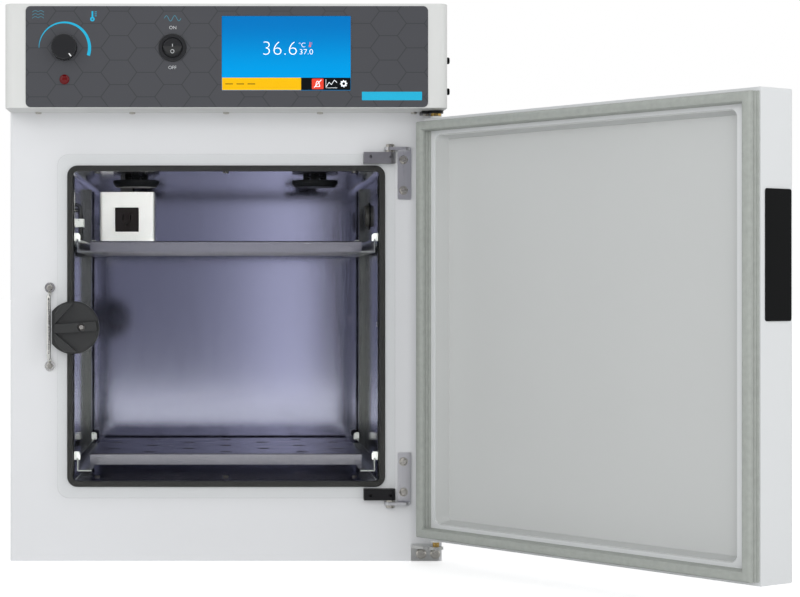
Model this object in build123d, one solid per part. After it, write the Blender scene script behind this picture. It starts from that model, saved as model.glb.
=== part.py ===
from build123d import *
import os
from math import cos, radians, sin, sqrt, tan

# Laboratory incubator, millimetres.
# X runs to the right, Y to the back, Z up. The origin is the middle of the cabinet's underside.
# Distances called proud are measured forward of the cabinet's front face, depths behind it.

# Cabinet
wall_side = 64.0
wall_back = 80.0
sheet = 1.5
cabinet_corner_r = 3.0
rear_flange = 14.0
seam = 0.3
fit = 0.2
foot_inset = 42.0
foot_boss_r = 10.0
foot_boss_h = 12.0
foot_thread_r = 5.0
base_plate = 2.0
base_flange_h = 16.0

# Control head
head_h = 118.0
head_out = 65.5
head_corner_r = 9.0
head_lip = 13.0
head_screw_pitch = 108.4
head_screw_count = 5
window_margin_x = 24.0
window_margin_z = 12.0
overlay_side = 23.1
overlay_top = 3.0
overlay_t = 0.8
overlay_r = 5.5
overlay_x = 0.6
overlay_drop = 1.0
display_w = 145.2
display_h = 83.8
display_x = 67.6
display_z_up = 61.9
display_body_margin = 4.0
display_body_t = 9.0
board_gap = 4.0
board_t = 1.6
board_post_r = 3.0
dial_x = -182.4
dial_z_up = 68.0
dial_r = 14.5
dial_h = 14.0
dial_flutes = 20
dial_lift = 0.6
dial_shaft_r = 3.0
dial_bush_r = 4.8
dial_bush_out = 1.6
dial_body_r = 14.0
dial_body_l = 20.0
lamp_z_up = 32.2
lamp_r = 5.6
lamp_stem_r = 4.0
switch_x = -60.7
switch_bezel_r = 15.8
switch_bezel_t = 2.2
switch_barrel_r = 14.6
switch_barrel_l = 24.0
rocker_ball_r = 13.0
rocker_face = 7.5
rocker_throw = 24.0
rocker_gap = 0.3
plug_head_r = 3.8
plug_head_h = 3.2
plug_forward = 52.0
plug_z_up = (19.7, 54.8)

# Chamber
chamber_w = 372.0
chamber_h = 372.0
chamber_d = 410.0
chamber_r = 10.0
liner_t = 1.2
mouth_in_x = 6.0
mouth_in_z = 4.8
mouth_r = 8.0
liner_screw_depth = 133.0
liner_screw_in_x = 29.0
liner_screw_in_z = 23.5
opening_gasket_over_x = 4.0
opening_gasket_over_z = 4.8
opening_gasket_r = 12.0
opening_gasket_band = 6.5
opening_gasket_proud = 4.0
opening_gasket_back_w = 2.0
opening_gasket_back_t = 3.0
heater_in_x = 36.0
heater_in_y = 45.0
heater_t = 2.0
tray_rise = 58.0
tray_t = 1.5

# Vents, access port, probes and chamber outlet
vent_x = 114.0
vent_depth = 256.0
vent_cap_r = 29.35
vent_cap_h = 13.0
vent_neck_r = 15.0
vent_neck_h = 4.5
vent_tube_r = 11.0
vent_tube_wall = 1.5
vent_tube_rise = 116.0
vent_bend_r = 24.0
port_depth = 293.0
port_down = 48.7
port_tube_r = 17.5
port_bore_r = 14.5
port_flange_r = 24.0
port_flange_t = 3.0
port_plug_gap = 0.3
port_plug_in = 6.0
port_plug_head_r = 19.0
port_plug_head_l = 14.0
probe_r = 2.4
probe_depths = (143.0, 157.0)
probe_downs = (40.0, 46.0)
probe_length = 43.0
probe_off_wall = 8.0
probe_clip_down = 62.0
probe_clip_t = 1.5
outlet_w = 71.7
outlet_h = 67.7
outlet_d = 45.0
outlet_from_left = 55.4
outlet_down = 47.8
socket_w = 31.0
socket_h = 32.0
socket_drop = 2.8
socket_t = 2.0

# Shelves and their supports
shelf_side_gap = 9.2
shelf_back_gap = 25.0
shelf_front_depth = 105.0
shelf_t = 1.2
shelf_lip = 13.2
shelf_side_lip = 9.0
shelf_hem = 6.0
shelf_hole_r = 8.0
shelf_hole_pitch_x = 93.0
shelf_hole_pitch_y = 55.0
shelf_hole_rows = 5
shelf_ups = {"upper": 287.0, "lower": 30.5}
shelf_clear = 0.3
post_front_depth = 35.0
post_rear_gap = 30.0
post_x_size = 8.0
post_y_size = 14.0
post_sheet = 1.2
post_end_gap = 10.0
post_slot_w = 4.0
post_slot_h = 12.0
post_slot_pitch = 26.0
rail_t = 1.5
rail_leg = 15.5
rail_foot = 17.0
rail_stand_off = 3.5
rail_overrun = 7.0
clip_y = 11.0
clip_z = 9.0
clip_groove = 2.0

# Glass door
pane_over_x = 11.0
pane_over_z = 12.5
pane_t = 6.0
pane_r = 14.0
pane_gap = 0.3
glass_pin_in = 5.5
glass_pin_r = 3.0
pin_fit = 0.05
clamp_l = 36.6
clamp_t = 12.0
clamp_bite = 10.7
clamp_cover = 2.3
clamp_fit = 0.1
clamp_screw_r = 1.8
clamp_screw_x = 22.9
pin_collar_r = 5.5
pin_collar_h = 2.0
pin_head_r = 5.0
pin_head_h = 3.2
bracket_out = 9.0
bracket_w = 15.6
bracket_h = 60.2
bracket_t = 2.5
tab_t = 3.4
tab_eye_r = 6.6
tab_reach = 13.5
tab_clear = 0.3
bracket_screw_in = 6.6
bracket_screw_first = 14.3
bracket_screw_pitch = 35.3
washer_r = 5.2
washer_t = 0.8

# Latch of the glass door
latch_from_keeper = 37.8
latch_down = 0.8
latch_tilt = 3.5
latch_disc_r = 30.5
latch_offset = 10.3
latch_rim_t = 5.0
latch_h = 16.0
latch_lift = 0.4
latch_step_in = 4.0
latch_body_r = 28.5
latch_sweep_r = 34.0
latch_bar_half = 5.2
latch_pocket = 9.0
latch_pocket_angle = 44.0
latch_rod_gap = 1.0
spindle_r = 4.0
spindle_barrel_r = 6.7
spindle_hole_r = 7.0
spindle_flange_r = 10.0
spindle_flange_t = 2.6
spindle_screw_head_r = 3.7
spindle_screw_head_h = 2.4
keeper_out = 9.0
keeper_rod_r = 2.3
keeper_proud = 19.0
keeper_screw_half = 45.3
keeper_rod_half = 37.0
keeper_eye_r = 6.0
keeper_eye_t = 2.0
keeper_bend_r = 6.0

# Outer door
door_below_chamber = 57.5
door_above_chamber = 51.5
door_head_gap = 9.5
door_from_left = 9.5
door_t = 50.0
door_from_right = 5.0
door_z = 28.5
door_r = 6.0
door_gasket_t = 15.0
door_gasket_gap = 0.5
door_gasket_w = 11.0
door_gasket_inset_x = 1.5
door_gasket_inset_z = 4.0
door_gasket_base = 4.0
door_gasket_neck = 3.0
door_gasket_neck_in = 2.0
door_open = 126.23
recess_depth = 18.0
recess_draft = 12.0
recess_from_hinge = 18.0
recess_from_free = 29.0
recess_from_end = 19.0
recess_rim = 12.0
recess_r = 9.0
panel_t = 1.2
pull_up = 78.8
pull_h = 128.3
pull_w = 38.0
pull_from_inner = 25.0
pull_depth = 21.0
pull_wall = 2.0
pull_flange_t = 1.2
pull_border = 4.5
pull_ridge = 5.0

# Outer door hinges
hinge_from_right = 10.0
hinge_proud = 29.5
hinge_pin_r = 2.2
hinge_fit = 0.05
bush_r = 3.4
bush_l = 18.0
bush_flange_r = 6.0
bush_flange_t = 3.0
hinge_collar_r = 3.8
hinge_plate_t = 3.2
hinge_plate_w = 32.0
hinge_plate_reach = 26.0
hinge_leg_h = 17.0
hinge_eye_r = 8.5
hinge_screw_in = (24.6, 8.3)
hinge_screw_z = 9.0
upper_plate_reach = 16.0
upper_plate_w = 22.0
upper_screw_in = (20.0, 9.0)
upper_screw_y = 13.0
big_head_r = 5.9
big_head_h = 3.4
small_head_r = 3.5
small_head_h = 2.0
screw_r = 1.8
screw_l = 5.0

# Rear and upper compartment
inlet_x = 150.0
inlet_z_up = 30.0
inlet_w = 50.0
inlet_h = 30.0
inlet_cup_w = 28.0
inlet_cup_h = 20.0
inlet_depth = 22.0
louvre_count = 9
louvre_w = 90.0
louvre_h = 3.5
louvre_pitch = 8.0
supply_x = -30.0
supply_y = 20.0
supply_w = 110.0
supply_d = 90.0
supply_h = 38.0
supply_slots = 7

# Sizes that follow from the chamber and its walls
cabinet_w = chamber_w + 2 * wall_side
cabinet_d = chamber_d + wall_back
door_h = door_below_chamber + chamber_h + door_above_chamber
door_w = cabinet_w - door_from_left - door_from_right
cabinet_h = door_z + door_h + door_head_gap + head_h
overlay_w = cabinet_w - 2 * overlay_side
overlay_h = head_h - overlay_drop - overlay_top
mouth_w = chamber_w - 2 * mouth_in_x
mouth_h = chamber_h - 2 * mouth_in_z
opening_gasket_w = mouth_w + 2 * opening_gasket_over_x
opening_gasket_h = mouth_h + 2 * opening_gasket_over_z
pane_w = opening_gasket_w + 2 * pane_over_x
pane_h = opening_gasket_h + 2 * pane_over_z
heater_w = chamber_w - 2 * heater_in_x
heater_d = chamber_d - 2 * heater_in_y
liner_screw_side_pitch = chamber_w / 2 - liner_screw_in_x
liner_screw_wall_pitch = chamber_h / 2 - liner_screw_in_z
shelf_w = chamber_w - 2 * (post_x_size + rail_stand_off + rail_t + shelf_side_gap)
shelf_d = chamber_d - shelf_front_depth - shelf_back_gap
post_depths = {"front": post_front_depth, "rear": chamber_d - post_rear_gap}

# Places that follow from the sizes above
front = -cabinet_d / 2
back = cabinet_d / 2
head_z = cabinet_h - head_h
head_front = front - head_out
overlay_front = head_front - overlay_t
overlay_z = head_z + overlay_drop + overlay_h / 2
display_z = head_z + display_z_up
dial_z = head_z + dial_z_up
lamp_z = head_z + lamp_z_up
chamber_floor = door_z + door_below_chamber
chamber_z = chamber_floor + chamber_h / 2
chamber_top = chamber_floor + chamber_h
port_z = chamber_top - port_down
probe_tops = [chamber_top - down for down in probe_downs]
probe_clip_z = chamber_top - probe_clip_down
outlet_x = outlet_from_left - chamber_w / 2
outlet_z = chamber_top - outlet_down
shelf_tops = {level: chamber_floor + up for level, up in shelf_ups.items()}
chamber_back = front + chamber_d
pane_back = front - opening_gasket_proud - pane_gap
pane_mid = pane_back - pane_t / 2
pane_front = pane_back - pane_t
pane_z = chamber_z + 0.2
glass_pin_x = pane_w / 2 - glass_pin_in
bracket_x = glass_pin_x + bracket_out
tab_right = bracket_x + tab_reach
keeper_x = -pane_w / 2 - keeper_out
latch_x = keeper_x + latch_from_keeper
latch_z = chamber_z - latch_down
tray_z = chamber_top + tray_rise
door_inner = front - door_gasket_t - door_gasket_gap
door_outer = door_inner - door_t
door_right = cabinet_w / 2 - door_from_right
door_left = door_from_left - cabinet_w / 2
door_cx = (door_left + door_right) / 2
door_cz = door_z + door_h / 2
pull_z = door_cz + pull_up
hinge_x = cabinet_w / 2 - hinge_from_right
hinge_y = front - hinge_proud
hinge_plate_left = hinge_x - hinge_plate_reach
hinge_screw_x = [cabinet_w / 2 - into for into in hinge_screw_in]
upper_plate_left = hinge_x - upper_plate_reach
upper_screw_x = [cabinet_w / 2 - into for into in upper_screw_in]
clamp_end = glass_pin_x + clamp_t / 2
latch_base = pane_front - latch_lift
rocker_pivot_y = overlay_front - switch_bezel_t + rocker_face


def block(x0, x1, y0, y1, z0, z1):
    """A box between six planes."""
    middle = Pos((x0 + x1) / 2, (y0 + y1) / 2, (z0 + z1) / 2)
    return middle * Box(x1 - x0, y1 - y0, z1 - z0)


def facing(y):
    """A drawing plane at this Y, seen from the front: its x is X and its y is Z."""
    return Plane((0, y, 0), x_dir=(1, 0, 0), z_dir=(0, -1, 0))


def front_plate(w, h, r, y_back, t, cx=0.0, cz=0.0):
    """A plate with rounded corners, parallel to the front, that grows forward from y_back."""
    return extrude(facing(y_back) * Pos(cx, cz) * RectangleRounded(w, h, r), amount=t)


def rod_x(r, x0, x1, y, z):
    return Pos((x0 + x1) / 2, y, z) * Rot(0, 90, 0) * Cylinder(r, x1 - x0)


def rod_y(r, y0, y1, x, z):
    return Pos(x, (y0 + y1) / 2, z) * Rot(90, 0, 0) * Cylinder(r, y1 - y0)


def rod_z(r, z0, z1, x, y):
    return Pos(x, y, (z0 + z1) / 2) * Cylinder(r, z1 - z0)


def joined(shapes):
    """One shape from a list, as separate solids where they do not touch."""
    return Compound(children=list(shapes))


def pan_screw(head_r, head_h, shank_r, shank_l):
    """A pan-head screw that stands on the XY plane, its head up and its shank down."""
    head = Cylinder(head_r, head_h, align=(Align.CENTER, Align.CENTER, Align.MIN))
    head = chamfer(head.edges().group_by(Axis.Z)[-1], head_h * 0.3, head_h * 0.45)
    slot = Pos(0, 0, head_h) * Box(head_r * 1.1, head_r * 0.25, head_h * 0.7)
    shank = Cylinder(shank_r, shank_l, align=(Align.CENTER, Align.CENTER, Align.MAX))
    return head - slot + shank


def front_screw(x, y, z, head_r=small_head_r, head_h=small_head_h):
    """A screw whose head faces the front and seats at y."""
    return Pos(x, y, z) * Rot(90, 0, 0) * pan_screw(head_r, head_h, screw_r - fit, screw_l)


def door_pose(shape):
    """Swings a piece of the outer door from shut to where the door stands open."""
    return shape.rotate(Axis((hinge_x, hinge_y, 0), (0, 0, 1)), door_open)


def keep(name, shape):
    export_step(shape, os.path.join("parts", name + ".step"))


def head_screw_xs():
    first = -head_screw_pitch * (head_screw_count - 1) / 2
    return [first + i * head_screw_pitch for i in range(head_screw_count)]


def rear_screw_points():
    x = cabinet_w / 2 - sheet - rear_flange / 2
    rows = [cabinet_h * share for share in (0.09, 0.36, 0.63, 0.93)]
    sides = [(side * x, z) for side in (-1, 1) for z in rows]
    return sides + [(0.0, cabinet_h - sheet - rear_flange / 2)]


def foot_points():
    x = cabinet_w / 2 - foot_inset
    y = cabinet_d / 2 - foot_inset
    return [(sx * x, sy * y) for sx in (-1, 1) for sy in (-1, 1)]


def liner_outline(grow, y_back, length):
    """The chamber's outline, grown all round."""
    return front_plate(chamber_w + 2 * grow, chamber_h + 2 * grow, chamber_r + grow,
                       y_back, length, 0, chamber_z)


def cabinet_shell():
    """Outer wrap: front, sides and top in one folded sheet, open below and behind."""
    half = cabinet_w / 2
    wrap = block(-half, half, front, back - sheet, 0, cabinet_h)
    corners = wrap.edges().filter_by(Axis.Z).group_by(Axis.Y)[0]
    wrap = fillet(corners, cabinet_corner_r)
    inside = half - sheet
    wrap -= block(-inside, inside, front + sheet, back, -sheet, cabinet_h - sheet)
    wrap -= front_plate(mouth_w, mouth_h, mouth_r, front + 2 * sheet, 3 * sheet, 0, chamber_z)
    window_h = head_h - 2 * window_margin_z
    wrap -= front_plate(cabinet_w - 2 * window_margin_x, window_h, 4.0, front + 2 * sheet,
                        3 * sheet, 0, head_z + head_h / 2)
    flange = block(-inside, inside, back - 2 * sheet, back - sheet, 0, cabinet_h - sheet)
    flange -= block(rear_flange - inside, inside - rear_flange, back - 3 * sheet, back, -sheet,
                    cabinet_h - sheet - rear_flange)
    lip = block(-inside + head_corner_r, inside - head_corner_r, front - head_lip, front + sheet,
                head_z + sheet, head_z + 2 * sheet)
    wrap = wrap + flange + lip
    for x, z in rear_screw_points():
        wrap -= rod_y(screw_r, back - 3 * sheet, back, x, z)
    for x in head_screw_xs():
        wrap -= rod_z(screw_r, head_z, head_z + 3 * sheet, x, front - head_lip / 2)
    for x in hinge_screw_x:
        wrap -= rod_y(screw_r, front - sheet, front + 2 * sheet, x, hinge_screw_z)
    for z in bracket_screw_zs():
        wrap -= rod_y(screw_r, front - sheet, front + 2 * sheet, bracket_x + bracket_screw_in, z)
    for side in (-1, 1):
        wrap -= rod_y(screw_r, front - sheet, front + 2 * sheet, keeper_x, latch_z + side * keeper_screw_half)
    wrap -= rod_x(port_tube_r + seam, inside - sheet, half + sheet, front + port_depth, port_z)
    return wrap


def base_pan():
    """Floor tray with turned-up edges and four threaded sockets for levelling feet."""
    x = cabinet_w / 2 - sheet - fit
    y0 = front + sheet + fit
    y1 = back - 2 * sheet - fit
    pan = block(-x, x, y0, y1, 0, base_flange_h)
    pan -= block(sheet - x, x - sheet, y0 + sheet, y1 - sheet, base_plate, base_flange_h + 1)
    pan -= block(hinge_screw_x[0] - 6, x + 1, y0 - 1, y0 + sheet + 1, base_plate, base_flange_h + 1)
    for px, py in foot_points():
        pan += rod_z(foot_boss_r, 0, foot_boss_h, px, py)
        pan -= rod_z(foot_thread_r, -1, foot_boss_h + 1, px, py)
    return pan


def rear_panel():
    """Back plate with louvres for the upper compartment."""
    x = cabinet_w / 2 - sheet - fit
    panel = block(-x, x, back - sheet, back, base_plate, cabinet_h - sheet - fit)
    for px, pz in rear_screw_points():
        panel -= rod_y(screw_r, back - 2 * sheet, back + 1, px, pz)
    for side in (-1, 1):
        panel -= rod_y(vent_tube_r + fit, back - 2 * sheet, back + 1, side * vent_x, vent_axis_z())
    panel -= block(inlet_x - inlet_w / 2 + 3, inlet_x + inlet_w / 2 - 3, back - 2 * sheet, back + 1,
                   inlet_z() - inlet_h / 2 + 3, inlet_z() + inlet_h / 2 - 3)
    for i in range(louvre_count):
        z = head_z + 18 + i * louvre_pitch
        panel -= front_plate(louvre_w, louvre_h, louvre_h * 0.49, back + 1, 3 * sheet, -20, z)
        hood = block(-20 - louvre_w / 2, -20 + louvre_w / 2, back - sheet, back + 1.6,
                     z + louvre_h / 2, z + louvre_h / 2 + 1.4)
        panel += chamfer(hood.edges().filter_by(Axis.X).group_by(Axis.Y)[-1].sort_by(Axis.Z)[-1:], 1.0)
    return panel


def inlet_z():
    return head_z + inlet_z_up


def vent_axis_z():
    return chamber_top + vent_tube_rise


def panel_screws():
    """Every small pan-head screw: rear panel, control head, liner, latch keeper and upper hinge."""
    screw = pan_screw(small_head_r, small_head_h, screw_r - fit, screw_l)
    places = [Pos(x, back, z) * Rot(-90, 0, 0) for x, z in rear_screw_points()]
    places += [Pos(x, front - head_lip / 2, head_z) * Rot(180, 0, 0) for x in head_screw_xs()]
    places += liner_screw_places()
    for side in (-1, 1):
        places.append(Pos(keeper_x, front - keeper_eye_t, latch_z + side * keeper_screw_half) * Rot(90, 0, 0))
    for x in upper_screw_x:
        places.append(Pos(x, hinge_y + upper_screw_y, head_z - hinge_plate_t) * Rot(180, 0, 0))
    return joined([place * screw for place in places])


def power_inlet():
    """Three-pin appliance inlet in the rear panel."""
    z = inlet_z()
    flange = block(inlet_x - inlet_w / 2, inlet_x + inlet_w / 2, back, back + 2.5,
                   z - inlet_h / 2, z + inlet_h / 2)
    flange = fillet(flange.edges().filter_by(Axis.Y), 3.0)
    body = block(inlet_x - inlet_w / 2 + 3.3, inlet_x + inlet_w / 2 - 3.3, back - inlet_depth, back,
                 z - inlet_h / 2 + 3.3, z + inlet_h / 2 - 3.3)
    cup = block(inlet_x - inlet_cup_w / 2, inlet_x + inlet_cup_w / 2, back - inlet_depth + 4, back + 3,
                z - inlet_cup_h / 2, z + inlet_cup_h / 2)
    inlet = flange + body - cup
    for dx, dz in ((-7, -2), (0, 2), (7, -2)):
        inlet += block(inlet_x + dx - 1, inlet_x + dx + 1, back - inlet_depth + 3, back - 4,
                       z + dz - 3, z + dz + 3)
    return inlet


def header_housing():
    """Control head: a folded cover that stands forward of the cabinet above the door."""
    half = cabinet_w / 2
    cover = block(-half, half, head_front, front, head_z, cabinet_h)
    cover = fillet(cover.edges().filter_by(Axis.Z).group_by(Axis.Y)[0], head_corner_r)
    cover = fillet(cover.faces().sort_by(Axis.Y)[0].edges().filter_by(Axis.X), 1.2)
    cavity = block(sheet - half, half - sheet, head_front + sheet, front + 1, head_z + sheet,
                   cabinet_h - sheet)
    cover -= fillet(cavity.edges().filter_by(Axis.Z).group_by(Axis.Y)[0], head_corner_r - sheet)
    cover -= front_plate(display_w + 2 * fit, display_h + 2 * fit, 1.0, head_front + 3, 6, display_x, display_z)
    cover -= rod_y(dial_bush_r + fit, head_front - 3, head_front + 3, dial_x, dial_z)
    cover -= rod_y(lamp_stem_r + fit, head_front - 3, head_front + 3, dial_x, lamp_z)
    cover -= rod_y(switch_barrel_r + fit, head_front - 3, head_front + 3, switch_x, dial_z)
    for x in head_screw_xs():
        cover -= rod_z(screw_r, head_z - 1, head_z + 2 * sheet, x, front - head_lip / 2)
    for up in plug_z_up:
        cover -= rod_x(screw_r, half - 2 * sheet, half + 1, front - plug_forward, head_z + up)
    for x in upper_screw_x:
        cover -= rod_z(screw_r, head_z - 1, head_z + 2 * sheet, x, hinge_y + upper_screw_y)
    return cover


def side_plugs():
    """Two black plugs in the right side of the control head."""
    plugs = []
    for up in plug_z_up:
        head = Cylinder(plug_head_r, plug_head_h, align=(Align.CENTER, Align.CENTER, Align.MIN))
        head = fillet(head.edges().group_by(Axis.Z)[-1], 1.4)
        stem = Cylinder(screw_r - fit, 6.0, align=(Align.CENTER, Align.CENTER, Align.MAX))
        place = Pos(cabinet_w / 2, front - plug_forward, head_z + up) * Rot(0, 90, 0)
        plugs.append(place * (head + stem))
    return joined(plugs)


def control_overlay():
    plate = front_plate(overlay_w, overlay_h, overlay_r, head_front, overlay_t, overlay_x, overlay_z)
    plate -= front_plate(display_w + 2 * fit, display_h + 2 * fit, 1.0, head_front + 2, 4, display_x, display_z)
    for r, x, z in ((dial_bush_r + fit, dial_x, dial_z), (lamp_stem_r + fit, dial_x, lamp_z),
                    (switch_barrel_r + fit, switch_x, dial_z)):
        plate -= rod_y(r, head_front - 3, head_front + 3, x, z)
    return plate


def touch_display():
    """Touch panel whose glass lies flush in the overlay, with its module behind the cover."""
    inner = head_front + sheet
    glass = front_plate(display_w, display_h, 0.8, inner, inner - overlay_front, display_x, display_z)
    module = front_plate(display_w + 2 * display_body_margin, display_h + 2 * display_body_margin, 2.0,
                         inner + display_body_t, display_body_t, display_x, display_z)
    for x, z in board_corners():
        module += rod_y(board_post_r, inner + display_body_t - 1, board_back(), x, z)
    return glass + module


def board_back():
    return head_front + sheet + display_body_t + board_gap


def board_corners():
    dx = display_w / 2 - 2
    dz = display_h / 2 - 2
    return [(display_x + sx * dx, display_z + sz * dz) for sx in (-1, 1) for sz in (-1, 1)]


def control_board():
    """Circuit board behind the display with its chips, connectors and capacitors."""
    y = board_back()
    board = front_plate(display_w + 4, display_h + 4, 2.0, y + board_t, board_t, display_x, display_z)
    parts = [(-45, 20, 20, 20, 2.0), (0, 15, 28, 12, 2.0), (40, 22, 14, 14, 3.0), (-40, -20, 30, 9, 9.0),
             (5, -25, 40, 8, 8.0), (48, -20, 10, 22, 10.0)]
    for dx, dz, w, h, t in parts:
        cx = display_x + dx
        cz = display_z + dz
        board += block(cx - w / 2, cx + w / 2, y + board_t, y + board_t + t, cz - h / 2, cz + h / 2)
    return board


def limit_thermostat():
    """Over-temperature limiter: a can behind the cover, its threaded bush and its shaft."""
    inner = head_front + sheet
    can = rod_y(dial_body_r, inner, inner + dial_body_l, dial_x, dial_z)
    can = fillet(can.edges().group_by(Axis.Y)[-1], 2.0)
    bush = rod_y(dial_bush_r, overlay_front - dial_bush_out, inner + 1, dial_x, dial_z)
    shaft = rod_y(dial_shaft_r, overlay_front - dial_h + 3, inner, dial_x, dial_z)
    tabs = [block(dial_x + dx - 0.4, dial_x + dx + 0.4, inner + dial_body_l - 1, inner + dial_body_l + 8,
                  dial_z - 3, dial_z + 3) for dx in (-6, 6)]
    return can + bush + shaft + tabs[0] + tabs[1]


def limit_knob():
    """Fluted dial knob with a pointer groove, set towards the lower right."""
    knob = Cylinder(dial_r, dial_h, align=(Align.CENTER, Align.CENTER, Align.MIN))
    top = knob.edges().group_by(Axis.Z)[-1]
    knob = fillet(top, 1.6)
    for i in range(dial_flutes):
        angle = radians(i * 360 / dial_flutes)
        reach = dial_r + 0.7
        knob -= Pos(reach * cos(angle), reach * sin(angle), 3.0 + dial_h / 2) * Cylinder(1.3, dial_h)
    knob -= Cylinder(dial_shaft_r + pin_fit, 2 * (dial_h - 3))
    knob -= Cylinder(dial_bush_r + 0.6, 2 * (dial_bush_out + 0.6))
    knob -= Pos(dial_r * 0.62, 0, dial_h) * Box(dial_r * 0.8, 1.6, 1.0)
    place = Pos(dial_x, overlay_front - dial_lift, dial_z) * Rot(90, 0, 0) * Rot(0, 0, -53)
    return place * knob


def alarm_lamp():
    """Red lens on a short stem."""
    flange = rod_y(lamp_r, overlay_front - 1.0, overlay_front, dial_x, lamp_z)
    stem = rod_y(lamp_stem_r, overlay_front - 0.5, head_front + 14, dial_x, lamp_z)
    bulge = lamp_r * 1.25
    sink = sqrt(bulge ** 2 - (lamp_r - 0.4) ** 2)
    lens = Pos(dial_x, overlay_front - 1.0 + sink, lamp_z) * Sphere(bulge)
    lens &= block(dial_x - lamp_r, dial_x + lamp_r, overlay_front - 9, overlay_front - 0.9, lamp_z - lamp_r,
                  lamp_z + lamp_r)
    return flange + stem + lens


def power_switch_housing():
    """Round bezel and barrel that hold the rocker."""
    bezel = rod_y(switch_bezel_r, overlay_front - switch_bezel_t, overlay_front, switch_x, dial_z)
    bezel = fillet(bezel.edges().group_by(Axis.Y)[0], 1.4)
    end = overlay_front + switch_barrel_l
    barrel = rod_y(switch_barrel_r, overlay_front - 0.5, end, switch_x, dial_z)
    housing = bezel + barrel
    mouth = sqrt(rocker_ball_r ** 2 - (rocker_face - 1.0) ** 2) + rocker_gap
    housing -= rod_y(mouth, overlay_front - switch_bezel_t - 1, rocker_pivot_y, switch_x, dial_z)
    housing -= Pos(switch_x, rocker_pivot_y, dial_z) * Sphere(rocker_ball_r + rocker_gap)
    for dz in (-7, 0, 7):
        housing += block(switch_x - 3, switch_x + 3, end - 1, end + 9, dial_z + dz - 0.4, dial_z + dz + 0.4)
    return housing


def power_rocker():
    """Ball-sided rocker with a shallow V face, its upper half pressed in."""
    ball = Sphere(rocker_ball_r)
    half = rocker_throw / 2
    size = 3 * rocker_ball_r
    rocker = ball
    for side in (-1, 1):
        cutter = Pos(0, -size / 2, side * size / 2) * Box(size, size, size)
        cutter = cutter.rotate(Axis.X, side * half)
        rocker -= Pos(0, -rocker_face, 0) * cutter
    rocker -= block(-size, size, rocker_face, size, -size, size)
    return Pos(switch_x, rocker_pivot_y, dial_z) * rocker.rotate(Axis.X, -half)


def chamber_liner():
    """Stainless inner chamber, its front edge against the back of the cabinet's front sheet."""
    liner = liner_outline(liner_t, chamber_back + liner_t, chamber_d + liner_t - sheet)
    liner -= liner_outline(0.0, chamber_back, chamber_d)
    liner -= rod_x(port_tube_r + seam, chamber_w / 2 - 3, chamber_w / 2 + 3, front + port_depth, port_z)
    for side in (-1, 1):
        liner -= rod_z(vent_tube_r + fit, chamber_top - 3, chamber_top + 3, side * vent_x, front + vent_depth)
    for depth, top in zip(probe_depths, probe_tops):
        liner -= rod_x(probe_r + fit, -chamber_w / 2 - 3, -chamber_w / 2 + 3, front + depth, top)
    for place in liner_screw_places():
        liner -= place * Cylinder(screw_r, 8)
    return liner


def liner_screw_places():
    """Seats of the twelve screws, their heads towards the middle of the chamber."""
    y = front + liner_screw_depth
    places = []
    for i in (-1, 0, 1):
        x = i * liner_screw_side_pitch
        z = chamber_z + i * liner_screw_wall_pitch
        places.append(Pos(x, y, chamber_top) * Rot(180, 0, 0))
        places.append(Pos(x, y, chamber_floor))
        places.append(Pos(chamber_w / 2, y, z) * Rot(0, -90, 0))
        places.append(Pos(-chamber_w / 2, y, z) * Rot(0, 90, 0))
    return places


def insulation():
    """Blanket that fills the walls round the chamber."""
    x = cabinet_w / 2 - sheet
    fill = block(-x, x, front + sheet, back - 2 * sheet, base_flange_h, tray_z)
    fill -= liner_outline(liner_t, chamber_back + liner_t, chamber_d + 2)
    for place in liner_screw_places():
        fill -= place * Cylinder(screw_r + 1, 16)
    y = front + port_depth
    fill -= rod_x(port_tube_r + 1, chamber_w / 2, cabinet_w / 2, y, port_z)
    for side in (-1, 1):
        fill -= rod_z(vent_tube_r + 1, chamber_top, tray_z + 1, side * vent_x, front + vent_depth)
    for depth, top in zip(probe_depths, probe_tops):
        fill -= rod_x(probe_r + 1, -chamber_w / 2 - 16, -chamber_w / 2, front + depth, top)
    fill -= heater_block(0.5)
    for x, z in rear_screw_points():
        fill -= rod_y(screw_r + 1, back - screw_l - 2, back, x, z)
    for z in bracket_screw_zs():
        fill -= rod_y(screw_r + 1, front, front + screw_l + 2, bracket_x + bracket_screw_in, z)
    for side in (-1, 1):
        fill -= rod_y(screw_r + 1, front, front + screw_l + 2, keeper_x, latch_z + side * keeper_screw_half)
    return fill


def heater_block(grow):
    z1 = chamber_floor - liner_t
    y = front + chamber_d / 2
    return block(-heater_w / 2 - grow, heater_w / 2 + grow, y - heater_d / 2 - grow, y + heater_d / 2 + grow,
                 z1 - heater_t - grow, z1)


def floor_heater():
    """Foil heater stuck under the chamber floor."""
    mat = fillet(heater_block(0.0).edges().filter_by(Axis.Z), 12.0)
    return mat - rod_z(screw_r + 4, chamber_floor - 10, chamber_floor, 0, front + liner_screw_depth)


def opening_gasket():
    """Black push-on trim round the chamber mouth that the glass shuts against."""
    w = opening_gasket_w
    h = opening_gasket_h
    band = opening_gasket_band
    ring = front_plate(w, h, opening_gasket_r, front, opening_gasket_proud, 0, chamber_z)
    ring = fillet(ring.faces().sort_by(Axis.Y)[0].edges(), 1.5)
    behind = front + sheet + fit
    ring += front_plate(mouth_w - 2 * fit, mouth_h - 2 * fit, mouth_r - fit, behind + 1, sheet + 1.5, 0, chamber_z)
    grip = opening_gasket_back_w
    ring += front_plate(mouth_w + 2 * grip, mouth_h + 2 * grip, mouth_r + grip, behind + opening_gasket_back_t,
                        opening_gasket_back_t, 0, chamber_z)
    ring -= front_plate(w - 2 * band, h - 2 * band, opening_gasket_r - band, front + 10, 20, 0, chamber_z)
    return ring


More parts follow.
